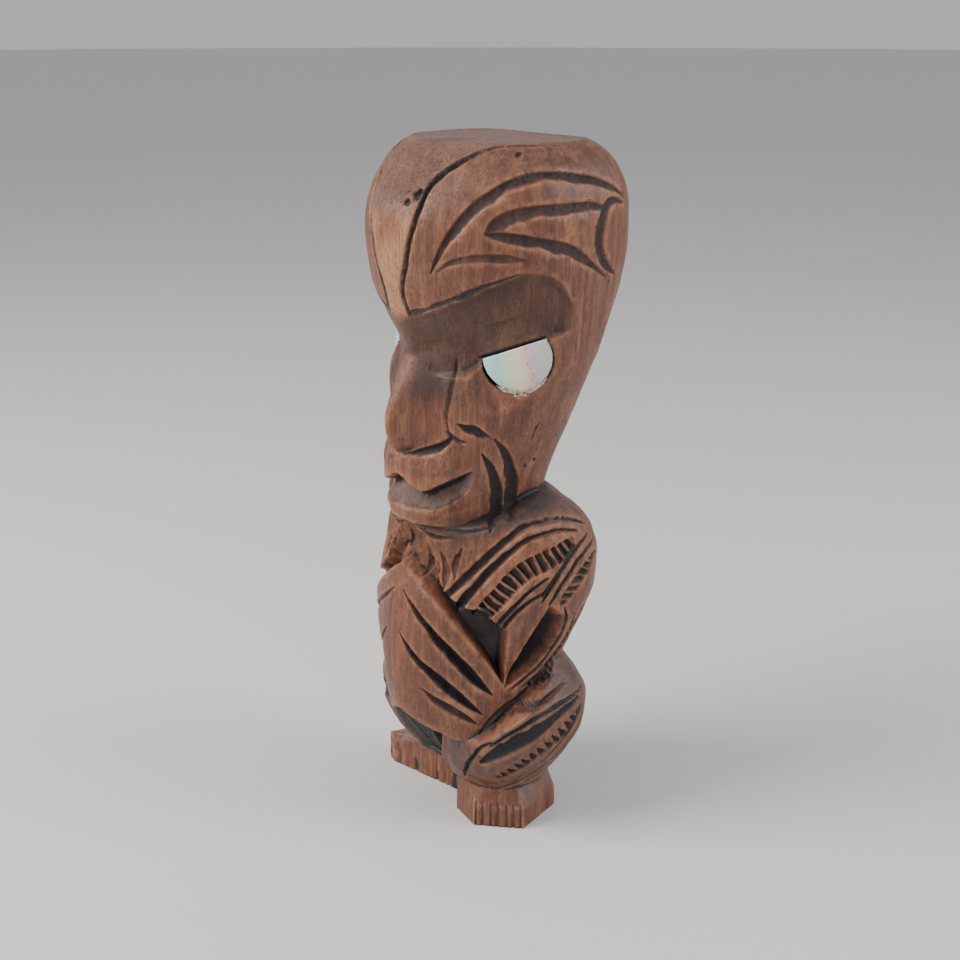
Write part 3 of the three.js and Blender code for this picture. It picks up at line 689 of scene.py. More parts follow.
    def finish(self):
        """Adds tool facets and torn grain, and works out hollows and worn edges."""
        p = self.points
        stretched = p * np.array([1, 1, 0.45])
        body = 1 - ease(104, 112, self.z)
        facets = (0.10 + 0.14 * body) * noise_field(stretched, 6.0, 11) + (0.05 + 0.07 * body) * noise_field(p, 2.6, 12)
        torn = 0.30 * noise_field(p, 1.7, 13) + 0.22 * noise_field(p * np.array([1, 1, 0.6]), 0.9, 14)
        wobble = facets + self.rough * torn
        away = wobble - self.cut + self.lift
        crown = 1 - ease(HEIGHT - 2.0, HEIGHT - 0.2, self.z)
        ground = ease(0.0, 1.2, self.z)
        away = away * np.where(self.cut > 0.05, 1, crown) * np.where(self.cut > 0.05, 1, ground)
        self.shape = p + self.normals * away[..., None]
        self.shape[0, :, 2] = 0.0
        self.shape[-1, :, 2] = HEIGHT
        self.shape[..., 2] = np.clip(self.shape[..., 2], 0, HEIGHT)
        self.shape[..., 0] = np.clip(self.shape[..., 0], -37.98, 37.98)
        self.shape[..., 1] = np.clip(self.shape[..., 1], -35.05, 35.1)
        normals = self.find_normals(self.shape)
        fine = np.einsum("ijk,ijk->ij", self.shape - soften(self.shape, 2), normals)
        broad = np.einsum("ijk,ijk->ij", self.shape - soften(self.shape, 8), normals)
        self.worn = ease(0.02, 0.10, fine) * 0.8 + ease(0.1, 0.5, broad) * 0.5
        self.hollow = ease(0.03, 0.16, -fine) * 0.5 + ease(0.15, 0.9, -broad) * 0.8
        self.top = ease(0.35, 0.85, soften(normals, 2)[..., 2])

    def paint(self):
        """Where the stain has stayed and where shade is painted in, where the wood is dark or painted in shade, where
        light is painted on, and where the wood is grey or painted with a sheen.
        """
        side = np.abs(self.b)
        z = self.z
        brow_top = read_line(BROW_TOP, side)
        brow_low = read_line(BROW_LOW, side)
        v = (brow_top - z) / (brow_top - brow_low)
        # Painted shade under the brow, partly dark stain: the eye socket.
        socket = ease(-0.02, 0.1, v) * (1 - ease(1.0, 1.15, v)) * (1 - ease(90, 97, side))
        # Painted shade: the hollow over the hands.
        valley = valley_share(side, z) * ease(22, 36, side)
        # Painted shade: the hollow in each arm's crook.
        crook = ease(1.0, 5.0, crook_depth(side, z))
        neck = z - read_line(NECK, side)
        # Painted shade under the jaw.
        nape = ease(-6, -1, neck) * (1 - ease(-0.5, 2.5, neck)) * ease(14, 34, side) * (1 - ease(100, 125, side))
        waist = z - read_line(WAIST, side)
        legs = 1 - ease(-1.0, 1.0, waist)
        # Painted shade, partly dark stain: the legs are painted darker.
        haunch = legs * ease(12, 18, z)
        # Painted shade, partly stain: the hollow between the knees.
        recess = ease(1.0, 3.5, leg_recess(self.b, z)) * legs
        # Painted shade, partly stain: the inner side of the right foot.
        inner_foot = (1 - ease(46, 50, side)) * (1 - ease(12, 14, z)) * (self.b < 0)
        bridge = ease(4, 11, side) * (1 - ease(32, 40, side)) * ease(134, 141, z) * (1 - ease(150, 154, z))
        corner = ease(32, 38, side) * (1 - ease(50, 60, side)) * ease(134, 141, z) * (1 - ease(148, 153, z))
        m = mouth_place(side, z)
        mouth = ease(0.0, 0.08, m) * (1 - ease(0.94, 1.02, m)) * (1 - ease(44, 49, side))
        # Painted shadow under the overhanging upper lip.
        under_lip_shadow = ease(-0.02, 0.05, m) * (1 - ease(0.14, 0.3, m)) * (1 - ease(44, 49, side))
        around = 0.6 * soften(self.stain_and_shade, 4)
        # Stain in the cuts and hollows, and painted shade in the same layer: the socket, the hollows over the hands and
        # in the crooks, under the jaw, between the knees, inside the right foot and under the upper lip.
        self.stain_and_shade = np.clip(
            np.maximum.reduce(
                [
                    self.stain_and_shade,
                    around,
                    self.hollow,
                    0.8 * valley,
                    0.95 * crook,
                    0.3 * socket,
                    0.55 * nape,
                    0.95 * recess,
                    0.9 * inner_foot,
                    0.9 * under_lip_shadow,
                    0.4 * bridge,
                ]
            ),
            0,
            1,
        )
        # Painted shade, partly dark stain: the socket under the brow, under the jaw, the legs, the nose's bridge and
        # corner, and the hollow over the hands are painted darker.
        self.dark_patches_and_shade = np.clip(
            np.maximum.reduce([0.8 * socket, 0.8 * nape, 0.55 * haunch, 0.9 * bridge, 0.5 * corner, 0.35 * valley]), 0, 1
        )
        inside_line = read_line(FOREHEAD_LINE, z) - side
        strip = ease(-1, 1, inside_line) * ease(160, 164, z)
        crown = strip * ease(189, 194, z)
        # Painted light: the forehead's front strip, but for its top, is painted lighter where the main light falls.
        self.painted_light = np.clip(strip - 0.7 * crown, 0, 1)
        self.top = np.maximum(self.top, crown)
        foot_top = ease(74, 82, side) * (1 - ease(120, 130, side)) * ease(6.5, 8, z) * (1 - ease(13, 14.5, z))
        shoulder = ease(60, 85, side) * (1 - ease(125, 140, side)) * ease(99, 102, z) * (1 - ease(0, 2, neck))
        hip = ease(80, 96, side) * (1 - ease(130, 145, side)) * ease(42, 46, z) * (1 - ease(0, 1, waist))
        wedge = (self.b < 0) * ease(52, 58, side) * (1 - ease(70, 78, side)) * ease(9.5, 10.5, z) * (1 - ease(13, 15, z))
        # Grey wood, and a painted sheen of light on faces turned up: the mouth's floor, the knee patches, the crown,
        # and the tops of the feet, shoulders and hips.
        self.grey_wood_and_sheen = np.clip(
            np.maximum.reduce(
                [0.85 * mouth, 0.9 * self.knee_patch(), 0.45 * crown, 0.6 * foot_top, 0.45 * shoulder, 0.5 * hip, wedge]
            ),
            0,
            1,
        )

    def knee_patch(self):
        """The flat rough patch on the front of each knee."""
        d = np.hypot((np.abs(self.b) - 36) / 14, (self.z - 24) / 8.5)
        return 1 - ease(0.75, 1.0, d)


def eye_axes(side):
    """The eye's own axes: along the chord, away from the curved edge, and out of the face."""
    facing = math.radians(side * EYE_FACING)
    out = np.array([math.sin(facing), -math.cos(facing), 0.0])
    level = np.array([math.cos(facing), math.sin(facing), 0.0])
    up = np.array([0.0, 0.0, 1.0])
    tilt = math.radians(side * EYE_TILT)
    chord = math.cos(tilt) * level + math.sin(tilt) * up
    rise = -math.sin(tilt) * level + math.cos(tilt) * up
    return chord, rise, out


def eye_frame(side, points):
    """Points measured along the eye's own axes from its centre."""
    centre = np.array([side * EYE_CENTRE[0], EYE_CENTRE[1], EYE_CENTRE[2]])
    chord, rise, out = eye_axes(side)
    offset = points - centre
    return offset @ chord, offset @ rise, offset @ out, centre


def from_eye(side, a, b, c):
    """Points from their measures along the eye's own axes."""
    centre = np.array([side * EYE_CENTRE[0], EYE_CENTRE[1], EYE_CENTRE[2]])
    chord, rise, out = eye_axes(side)
    return centre + a[..., None] * chord + b[..., None] * rise + c[..., None] * out


def link_mesh(name, points, faces):
    """A new object at the origin from points in mm and faces."""
    mesh = bpy.data.meshes.new(name)
    mesh.from_pydata((np.asarray(points).reshape(-1, 3) * MM).tolist(), [], faces)
    mesh.validate()
    mesh.polygons.foreach_set("use_smooth", [True] * len(mesh.polygons))
    mesh.update()
    obj = bpy.data.objects.new(name, mesh)
    bpy.context.scene.collection.objects.link(obj)
    return obj


def closed_grid(points, wrap=True):
    """Faces of a grid whose columns run round, with its first and last rows closed by a point.

    points has rows by columns by 3; the two closing points are put after them.
    """
    rows, columns = points.shape[:2]
    index = np.arange(rows * columns).reshape(rows, columns)
    nxt = np.roll(index, -1, axis=1)
    quads = np.stack([index[:-1], nxt[:-1], nxt[1:], index[1:]], axis=-1).reshape(-1, 4)
    bottom = rows * columns
    low = np.stack([np.full(columns, bottom), nxt[0], index[0]], axis=-1)
    high = np.stack([np.full(columns, bottom + 1), index[-1], nxt[-1]], axis=-1)
    ends = np.stack([points[0].mean(axis=0), points[-1].mean(axis=0)])
    body = np.concatenate([points.reshape(-1, 3), ends])
    return body, quads.tolist() + low.tolist() + high.tolist()


def apply_modifiers(obj):
    """Makes the modified mesh the object's own mesh."""
    depsgraph = bpy.context.evaluated_depsgraph_get()
    mesh = bpy.data.meshes.new_from_object(obj.evaluated_get(depsgraph))
    old = obj.data
    obj.modifiers.clear()
    obj.data = mesh
    bpy.data.meshes.remove(old)


def gap_cutter():
    """A long bar of arched section through both legs, its walls a little uneven."""
    spring = GAP_TOP - GAP_HALF_WIDTH
    turn = np.linspace(0, math.pi, 17)
    arch = np.stack([GAP_HALF_WIDTH * np.cos(turn), spring + GAP_HALF_WIDTH * np.sin(turn)], axis=-1)
    left = np.stack([np.full(10, -GAP_HALF_WIDTH), np.linspace(spring, -4, 11)[1:]], axis=-1)
    right = np.stack([np.full(10, GAP_HALF_WIDTH), np.linspace(-4, spring, 11)[:-1]], axis=-1)
    outline = np.concatenate([arch, left, right])
    stations = np.linspace(-42, 42, 71)
    grid = np.zeros((len(stations), len(outline), 3))
    grid[..., 0] = outline[:, 0]
    grid[..., 2] = outline[:, 1]
    grid[..., 1] = stations[:, None]
    rough = noise_field(grid, 3.0, 31) * 0.25
    inward = np.where(grid[..., 2] > 0, rough, 0)
    grid[..., 0] += inward * np.sign(grid[..., 0])
    return closed_grid(grid[:, ::-1])


def lay_attribute(mesh, name, values):
    """A value at each vertex, for the materials to read."""
    layer = mesh.attributes.new(name, "FLOAT", "POINT")
    layer.data.foreach_set("value", np.asarray(values, np.float32))


def sample_grid(carving, field, bearing, z):
    """A grid field read at any bearing and height, blended between the four points around."""
    columns = np.interp(bearing, np.append(carving.bearing, 180.0), np.arange(COLUMNS + 1))
    rows = np.interp(z, carving.height, np.arange(len(carving.height)))
    c0 = np.floor(columns).astype(int)
    r0 = np.clip(np.floor(rows).astype(int), 0, len(carving.height) - 2)
    fc = columns - c0
    fr = rows - r0
    c1 = (c0 + 1) % COLUMNS
    c0 = c0 % COLUMNS
    low = field[r0, c0] * (1 - fc) + field[r0, c1] * fc
    high = field[r0 + 1, c0] * (1 - fc) + field[r0 + 1, c1] * fc
    return low * (1 - fr) + high * fr


def carve_figure():
    """The whole carving as arrays: form, cuts on both sides, bands, patches, and stain with painted shade."""
    carving = Carving()
    for n, (path, depth, kind, stain_and_shade, sides) in enumerate(CUTS):
        for side in sides:
            turned = [(side * b, z, width) for b, z, width in path]
            carving.groove(turned, depth, kind, stain_and_shade, 100 + 3 * n + 200 * (side < 0))
    for n, (path, depth, pitch, lean, style) in enumerate(BANDS):
        for side in BOTH:
            turned = [(side * b, z, width) for b, z, width in path]
            carving.band(turned, depth, pitch, side * lean, style, 600 + n + 50 * (side < 0))
    carving.toes()
    for pit in PITS:
        carving.pit(*pit)
    for patch in PATCHES:
        carving.patch(*patch)
    for side in BOTH:
        carving.lid(side)
    for side in BOTH:
        carving.eye_seat(side)
    carving.finish()
    carving.paint()
    return carving


def figure_mesh():
    """The carved block as one closed mesh, with the gap between the legs cut through it."""
    carving = carve_figure()
    shape = carving.shape
    rings = 26
    share = np.linspace(1, 0.03, rings)[1:, None, None]
    top_middle = shape[-1].mean(axis=0)
    low_middle = shape[0].mean(axis=0)
    top = top_middle + (shape[-1] - top_middle) * share
    dimple = noise_field(top, 2.2, 21) * 0.12 + noise_field(top, 7, 22) * 0.18
    top[..., 2] = HEIGHT - 0.25 + np.clip(dimple, -0.5, 0.2)
    bottom = low_middle + (shape[0] - low_middle) * share[::-1]
    points, faces = closed_grid(np.concatenate([bottom, shape, top]))
    obj = link_mesh("tiki_carving", points, faces)
    cutter = link_mesh("gap_cutter", *gap_cutter())
    cut = obj.modifiers.new("Gap between the legs", "BOOLEAN")
    cut.operation = "DIFFERENCE"
    cut.solver = "MANIFOLD"
    cut.object = cutter
    apply_modifiers(obj)
    bpy.data.objects.remove(cutter)
    count = sum(len(p.vertices) - 2 for p in obj.data.polygons)
    thin = obj.modifiers.new("Fewer triangles", "DECIMATE")
    thin.ratio = min(1.0, TRIANGLE_LIMIT / count)
    apply_modifiers(obj)
    mesh = obj.data
    if len(mesh.vertices) < 1000:
        raise RuntimeError("the carved figure came out empty")
    seen = np.empty(len(mesh.vertices) * 3)
    mesh.vertices.foreach_get("co", seen)
    p = seen.reshape(-1, 3) / MM
    bearing = np.degrees(np.arctan2(p[:, 0], -p[:, 1]))
    z = p[:, 2]
    r = np.hypot(p[:, 0], p[:, 1])
    skin = sample_grid(carving, np.hypot(shape[..., 0], shape[..., 1]), bearing, z)
    inner = ease(1.0, 2.5, skin - r)
    # Painted shade: the walls of the gap between the legs are painted black, as if deep in shade.
    shaded_gap_walls = inner * (z < GAP_TOP + 2)
    on_top = (z > HEIGHT - 1.2) * inner
    # Stain with painted shade; the gap's walls are painted black on top of it.
    stain_and_shade = sample_grid(carving, carving.stain_and_shade, bearing, z)
    lay_attribute(mesh, "stain_and_shade", np.clip(stain_and_shade * (1 - on_top) + shaded_gap_walls, 0, 1))
    lay_attribute(mesh, "worn", sample_grid(carving, carving.worn, bearing, z) * (1 - inner))
    rough = sample_grid(carving, carving.rough, bearing, z)
    lay_attribute(mesh, "rough", np.maximum(rough, 0.6 * shaded_gap_walls))
    # Painted shade, partly dark stain.
    lay_attribute(mesh, "dark_patches_and_shade", sample_grid(carving, carving.dark_patches_and_shade, bearing, z) * (1 - inner))
    # Painted light on the forehead's front.
    lay_attribute(mesh, "painted_light", sample_grid(carving, carving.painted_light, bearing, z) * (1 - inner))
    # Grey wood with a painted sheen on faces turned up.
    grey_wood_and_sheen = sample_grid(carving, carving.grey_wood_and_sheen, bearing, z)
    lay_attribute(mesh, "grey_wood_and_sheen", np.maximum(grey_wood_and_sheen * (1 - inner), 0.5 * on_top))
    end_grain = sample_grid(carving, carving.top, bearing, z)
    lay_attribute(mesh, "end_grain", np.maximum(end_grain, on_top))
    mesh.polygons.foreach_set("use_smooth", [True] * len(mesh.polygons))
    mesh.update()
    return obj


def eye_outline(turn, grow=0.0):
    """Distance from the eye's middle to its outline at each turn: circle or chord, the nearer.

    The middle is set under the chord, at half the depth of the shell.
    """
    middle = -3.6
    radius = EYE_RADIUS + grow
    s = np.sin(turn)
    c = np.cos(turn)
    to_circle = -middle * s + np.sqrt(np.maximum(radius**2 - (middle * c) ** 2, 0))
    to_chord = np.where(s > 1e-3, (EYE_CHORD + grow - middle) / np.maximum(s, 1e-3), 1e6)
    reach = np.minimum(to_circle, to_chord)
    return reach * c, middle + reach * s


def eye_mesh(side, name):
    """A half-moon plate: rings from a rounded rim to the middle, its face slightly domed."""
    turn = np.linspace(0, 2 * math.pi, 240, endpoint=False)
    edge_a, edge_b = eye_outline(turn)
    chips = 0.10 * noise_field(np.stack([edge_a, edge_b, edge_a * 0], -1), 0.8, 41)
    share = np.concatenate([[0.6, 0.98, 1.0, 1.0, 0.985, 0.965], np.linspace(0.94, 0.03, 34)])
    dome = EYE_DOME * (1 - np.linspace(0.94, 0.03, 34) ** 2)
    rim = [-SHELL_THICKNESS, -SHELL_THICKNESS, -SHELL_THICKNESS + 0.1, -0.16, 0.0, 0.08]
    depth = np.concatenate([rim, dome])
    middle = -3.6
    a = edge_a * share[:, None] + 0 * chips
    b = middle + (edge_b - middle) * share[:, None]
    hug = ease(0.9, 1.0, share)[:, None]
    shrink = 1 - hug * np.maximum(chips, 0) / 10
    grid = from_eye(side, a * shrink, middle + (b - middle) * shrink, np.broadcast_to(depth[:, None], a.shape))
    if side < 0:
        grid = grid[:, ::-1]
    points, faces = closed_grid(grid)
    obj = link_mesh(name, points, faces)
    local_a, local_b, _, _ = eye_frame(side, points)
    u = np.clip(0.5 + side * local_a / 22, 0, 1)
    v = np.clip(0.5 + local_b / 22, 0, 1)
    layer = obj.data.uv_layers.new(name="UVMap")
    loops = np.empty(len(obj.data.loops), int)
    obj.data.loops.foreach_get("vertex_index", loops)
    layer.data.foreach_set("uv", np.stack([u[loops], v[loops]], -1).astype(np.float32).ravel())
    return obj


def putty_mesh(side, name):
    """A crumbly bead along the lower edge of a shell, and a few loose crumbs under it.

    The bead is a lumpy tube along the outline; each crumb is a lumpy ball on the wood.
    """
    run = np.radians(np.linspace(196, 322, 150))
    a, b = eye_outline(run, 0.1)
    ring = np.linspace(0, 2 * math.pi, 14, endpoint=False)
    ends = ease(0, 0.12, np.linspace(0, 1, 150)) * (1 - ease(0.8, 1, np.linspace(0, 1, 150)))
    lumps = noise_field(np.stack([a, b, a * 0], -1), 0.8, 51)
    thick = 0.10 + 0.52 * ends * (1 + 0.5 * lumps)
    away = np.stack([np.cos(run), np.sin(run)], -1)
    swing = np.cos(ring)[None, :] * thick[:, None]
    rise = np.sin(ring)[None, :] * thick[:, None] * 0.9
    grid_a = a[:, None] + away[:, :1] * (swing + 0.25)
    grid_b = b[:, None] + away[:, 1:] * (swing + 0.25)
    grid = from_eye(side, grid_a, grid_b, rise - 0.1)
    grid = grid + noise_field(grid, 0.5, 52)[..., None] * 0.09
    if side < 0:
        grid = grid[:, ::-1]
    points, faces = closed_grid(grid)
    places = [(-4.2, -10.5), (-3.1, -10.9), (-2.2, -10.7), (-3.7, -11.4), (-1.4, -11.1), (-2.8, -11.9)]
    lift = np.linspace(-math.pi / 2 + 0.2, math.pi / 2 - 0.2, 8)[:, None]
    for n, (ca, cb) in enumerate(places):
        size = 0.5 + 0.12 * math.sin(3.1 * n)
        around = ring[None, :]
        ball_a = ca + size * np.cos(lift) * np.cos(around)
        ball_b = cb + 0.8 * size * np.cos(lift) * np.sin(around)
        ball_c = 0.05 + 0.7 * size * np.sin(lift) + 0 * around
        ball = from_eye(side, ball_a, ball_b, ball_c)
        ball = ball + noise_field(ball, 0.4, 60 + n)[..., None] * 0.14
        if side < 0:
            ball = ball[:, ::-1]
        more_points, more_faces = closed_grid(ball)
        base = len(points)
        points = np.concatenate([points, more_points])
        faces += [[base + i for i in face] for face in more_faces]
    return link_mesh(name, points, faces)


class Maker:
    """Short ways to add and join shader nodes in one tree."""

    def __init__(self, tree):
        self.tree = tree

    def add(self, kind, settings=None, **inputs):
        """A node of that kind; inputs are values or other nodes' outputs, by socket name."""
        node = self.tree.nodes.new(kind)
        for key, value in (settings or {}).items():
            setattr(node, key, value)
        for key, value in inputs.items():
            self.feed(node, key.replace("_", " "), value)
        return node

    def feed(self, node, key, value):
        """Joins an output to a socket, or sets the socket's value."""
        socket = node.inputs[int(key) if key.isdigit() else key]
        if isinstance(value, bpy.types.NodeSocket):
            self.tree.links.new(value, socket)
        else:
            socket.default_value = value

    def math(self, operation, a, b=0.0, clamp=False):
        """One arithmetic step."""
        node = self.tree.nodes.new("ShaderNodeMath")
        node.operation = operation
        node.use_clamp = clamp
        self.feed(node, "0", a)
        self.feed(node, "1", b)
        return node.outputs[0]

    def mix(self, share, a, b, blend="MIX"):
        """Colour a to colour b by share."""
        node = self.tree.nodes.new("ShaderNodeMix")
        node.data_type = "RGBA"
        node.blend_type = blend
        self.feed(node, "0", share)
        self.feed(node, "6", a)
        self.feed(node, "7", b)
        return node.outputs[2]

    def ramp(self, value, stops):
        """A colour ramp: place and colour of each stop."""
        node = self.tree.nodes.new("ShaderNodeValToRGB")
        band = node.color_ramp
        while len(band.elements) < len(stops):
            band.elements.new(0.5)
        for element, (spot, colour) in zip(band.elements, stops):
            element.position = spot
            element.color = (*colour, 1) if len(colour) == 3 else colour
        self.feed(node, "Fac", value)
        return node.outputs["Color"]

    def spread(self, value, low, high):
        """0 at low to 1 at high, clamped."""
        node = self.tree.nodes.new("ShaderNodeMapRange")
        node.interpolation_type = "SMOOTHSTEP"
        self.feed(node, "Value", value)
        self.feed(node, "From Min", low)
        self.feed(node, "From Max", high)
        return node.outputs["Result"]

    def noise(self, vector, scale, detail=3.0, roughness=0.5, stretch=None, distortion=0.0):
        """Noise on a vector, which stretch scales along each axis first."""
        if stretch:
            vector = self.add("ShaderNodeMapping", Vector=vector, Scale=stretch).outputs[0]
        node = self.tree.nodes.new("ShaderNodeTexNoise")
        for key, value in (
            ("Vector", vector),
            ("Scale", scale),
            ("Detail", detail),
            ("Roughness", roughness),
            ("Distortion", distortion),
        ):
            self.feed(node, key, value)
        return node.outputs["Fac"]

    def attribute(self, name):
        """A value laid on the mesh."""
        node = self.tree.nodes.new("ShaderNodeAttribute")
        node.attribute_name = name
        return node.outputs["Fac"]


def new_group(name, inputs, outputs):
    """A shader node group with those sockets, each a name, a kind and a starting value."""
    tree = bpy.data.node_groups.new(name, "ShaderNodeTree")
    for label, kind, value in inputs:
        socket = tree.interface.new_socket(label, in_out="INPUT", socket_type=kind)
        if value is not None:
            socket.default_value = value
    for label, kind in outputs:
        tree.interface.new_socket(label, in_out="OUTPUT", socket_type=kind)
    maker = Maker(tree)
    source = tree.nodes.new("NodeGroupInput")
    sink = tree.nodes.new("NodeGroupOutput")
    return tree, maker, source, sink


def scuff_group():
    """Fine scratches and specks: stretched noise in two directions, and small dots."""
    tree, m, source, sink = new_group(
        "Scuffs and specks",
        [("Vector", "NodeSocketVector", None), ("Amount", "NodeSocketFloat", 0.5)],
        [("Scratches", "NodeSocketFloat"), ("Specks", "NodeSocketFloat")],
    )
    vector = source.outputs["Vector"]
    lines = []
    for turn in (0.5, -0.9):
        turned = m.add("ShaderNodeMapping", Vector=vector, Rotation=(turn, turn * 0.6, 0.2))
        stretched = m.noise(turned.outputs[0], 1.0, 2.0, 0.5, (2.4, 2.4, 0.12))
        lines.append(m.spread(stretched, 0.70, 0.78))
    both = m.math("MAXIMUM", lines[0], lines[1])
    m.feed(sink, "Scratches", m.math("MULTIPLY", both, source.outputs["Amount"]))
    dots = m.spread(m.noise(vector, 1.3, 2.0, 0.6), 0.70, 0.76)
    m.feed(sink, "Specks", m.math("MULTIPLY", dots, source.outputs["Amount"]))
    return tree


def grain_group():
    """Upright wood grain: broad streaks, fine fibres and short dark pores."""
    tree, m, source, sink = new_group(
        "Upright grain",
        [("Vector", "NodeSocketVector", None), ("End grain", "NodeSocketFloat", 0.0)],
        [("Streaks", "NodeSocketFloat"), ("Fibres", "NodeSocketFloat"), ("Pores", "NodeSocketFloat")],
    )
    vector = source.outputs["Vector"]
    streaks = m.noise(vector, 1.0, 5.0, 0.6, (0.34, 0.34, 0.010), 0.6)
    fibres = m.noise(vector, 1.0, 4.0, 0.65, (2.3, 2.3, 0.05))
    pores = m.spread(m.noise(vector, 1.0, 2.0, 0.5, (4.6, 4.6, 0.22)), 0.60, 0.70)
    spots = m.spread(m.noise(vector, 1.9, 3.0, 0.6), 0.55, 0.68)
    mixed = m.add("ShaderNodeMix", {"data_type": "FLOAT"})
    m.feed(mixed, "0", source.outputs["End grain"])
    m.feed(mixed, "2", pores)
    m.feed(mixed, "3", spots)
    m.feed(sink, "Streaks", streaks)
    m.feed(sink, "Fibres", fibres)
    m.feed(sink, "Pores", mixed.outputs[0])
    return tree


def place_group(m, tree, **inputs):
    """One use of a node group in a material."""
    node = m.tree.nodes.new("ShaderNodeGroup")
    node.node_tree = tree
    for key, value in inputs.items():
        m.feed(node, key.replace("_", " "), value)
    return node


def new_material(name):
    """A material with an empty tree but for its output and a Principled shader."""
    material = bpy.data.materials.new(name)
    material.use_nodes = True
    tree = material.node_tree
    tree.nodes.clear()
    m = Maker(tree)
    shader = tree.nodes.new("ShaderNodeBsdfPrincipled")
    output = tree.nodes.new("ShaderNodeOutputMaterial")
    tree.links.new(shader.outputs[0], output.inputs[0])
    return material, m, shader


def millimetres(m):
    """Object coordinates in millimetres."""
    where = m.add("ShaderNodeTexCoord").outputs["Object"]
    scaled = m.add("ShaderNodeVectorMath", {"operation": "SCALE"})
    m.feed(scaled, "0", where)
    m.feed(scaled, "Scale", 1000.0)
    return scaled.outputs[0]


def wood_material(sizes):
    """Dark waxed hardwood: orange-brown where worn, blue-black where the stain has stayed and where shade is painted,
    lighter where light is painted on the forehead's front, grey where the wood is grey and where a sheen is painted on
    faces turned up.
    """
    material, m, shader = new_material("Waxed carved wood")
    where = millimetres(m)
    grain = place_group(m, bpy.data.node_groups["Upright grain"], Vector=where)
    m.feed(grain, "End grain", m.attribute("end_grain"))
    scuffs = place_group(m, bpy.data.node_groups["Scuffs and specks"], Vector=where, Amount=0.8)
    blotch = m.noise(where, 0.055, 4.0, 0.6)
    mottled = m.noise(where, 0.32, 4.0, 0.6)
    blend = m.math("ADD", m.math("MULTIPLY", grain.outputs["Streaks"], 0.6), m.math("MULTIPLY", grain.outputs["Fibres"], 0.4))
    dark = tuple(sizes.dark_wood)
    middle = tuple(sizes.middle_wood)
    light = tuple(sizes.light_wood)
    colour = m.ramp(blend, [(0.33, dark), (0.5, middle), (0.66, light)])
    # Painted light: the forehead's front turns lighter orange where the main light falls.
    painted_light = m.math("MULTIPLY", m.attribute("painted_light"), m.spread(blotch, 0.25, 0.6))
    colour = m.mix(painted_light, colour, m.ramp(grain.outputs["Fibres"], [(0.3, (0.25, 0.10, 0.045)), (0.7, (0.55, 0.27, 0.14))]))
    worn = m.math("MULTIPLY", m.attribute("worn"), m.spread(mottled, 0.3, 0.62))
    colour = m.mix(m.math("MULTIPLY", worn, 0.75), colour, (*sizes.worn_wood, 1))
    # Grey wood, and a painted sheen on faces turned up.
    grey_wood_and_sheen = m.math("MULTIPLY", m.attribute("grey_wood_and_sheen"), m.spread(mottled, 0.2, 0.6))
    colour = m.mix(m.math("MULTIPLY", grey_wood_and_sheen, 0.8), colour, (0.16, 0.125, 0.115, 1))
    # Painted shade, partly dark stain: near-black brown on the socket, under the jaw, the legs and the nose's bridge.
    dark_patches_and_shade = m.math("MULTIPLY", m.attribute("dark_patches_and_shade"), m.spread(blotch, 0.1, 0.6))
    colour = m.mix(m.math("MULTIPLY", dark_patches_and_shade, 0.72), colour, (0.035, 0.018, 0.014, 1))
    # Blue-black for the stain and for the painted shade in the same layer.
    patchy = m.spread(m.noise(where, 0.5, 4.0, 0.7), 0.15, 0.5)
    stain_and_shade = m.math("MULTIPLY", m.attribute("stain_and_shade"), m.math("ADD", m.math("MULTIPLY", patchy, 0.35), 0.65), True)
    stain_and_shade = m.spread(stain_and_shade, 0.12, 0.85)
    colour = m.mix(m.math("MULTIPLY", stain_and_shade, 0.95), colour, (*sizes.stain_and_shade, 1))
    colour = m.mix(m.math("MULTIPLY", grain.outputs["Pores"], 0.6), colour, (0.016, 0.009, 0.008, 1))
    colour = m.mix(m.math("MULTIPLY", scuffs.outputs["Scratches"], 0.35), colour, (0.02, 0.012, 0.012, 1))
    colour = m.mix(m.math("MULTIPLY", scuffs.outputs["Specks"], 0.3), colour, (0.012, 0.01, 0.012, 1))
    m.feed(shader, "Base Color", colour)
    rough = m.math("ADD", m.math("MULTIPLY", mottled, 0.25), sizes.roughness - 0.12)
    rough = m.math("ADD", rough, m.math("MULTIPLY", m.attribute("rough"), 0.2))
    rough = m.math("ADD", rough, m.math("MULTIPLY", grain.outputs["Pores"], 0.2), True)
    m.feed(shader, "Roughness", rough)
    shader.inputs["Specular IOR Level"].default_value = 0.5
    fine = m.math("SUBTRACT", m.math("MULTIPLY", grain.outputs["Fibres"], 0.5), m.math("MULTIPLY", grain.outputs["Pores"], 0.55))
    fine = m.math("SUBTRACT", fine, m.math("MULTIPLY", scuffs.outputs["Scratches"], 0.5))
    fine = m.math("ADD", fine, m.math("MULTIPLY", m.noise(where, 1.4, 4.0, 0.6), 0.25))
    bump = m.add("ShaderNodeBump", Strength=0.8, Distance=0.00022, Height=fine)
    torn = m.noise(where, 0.9, 6.0, 0.75)
    coarse = m.math("MULTIPLY", torn, m.math("ADD", m.math("MULTIPLY", m.attribute("rough"), 1.0), 0.10))
    bump2 = m.add("ShaderNodeBump", Strength=0.9, Distance=0.0009, Height=coarse)
    m.feed(bump2, "Normal", bump.outputs[0])
    m.feed(shader, "Normal", bump2.outputs[0])
    return material


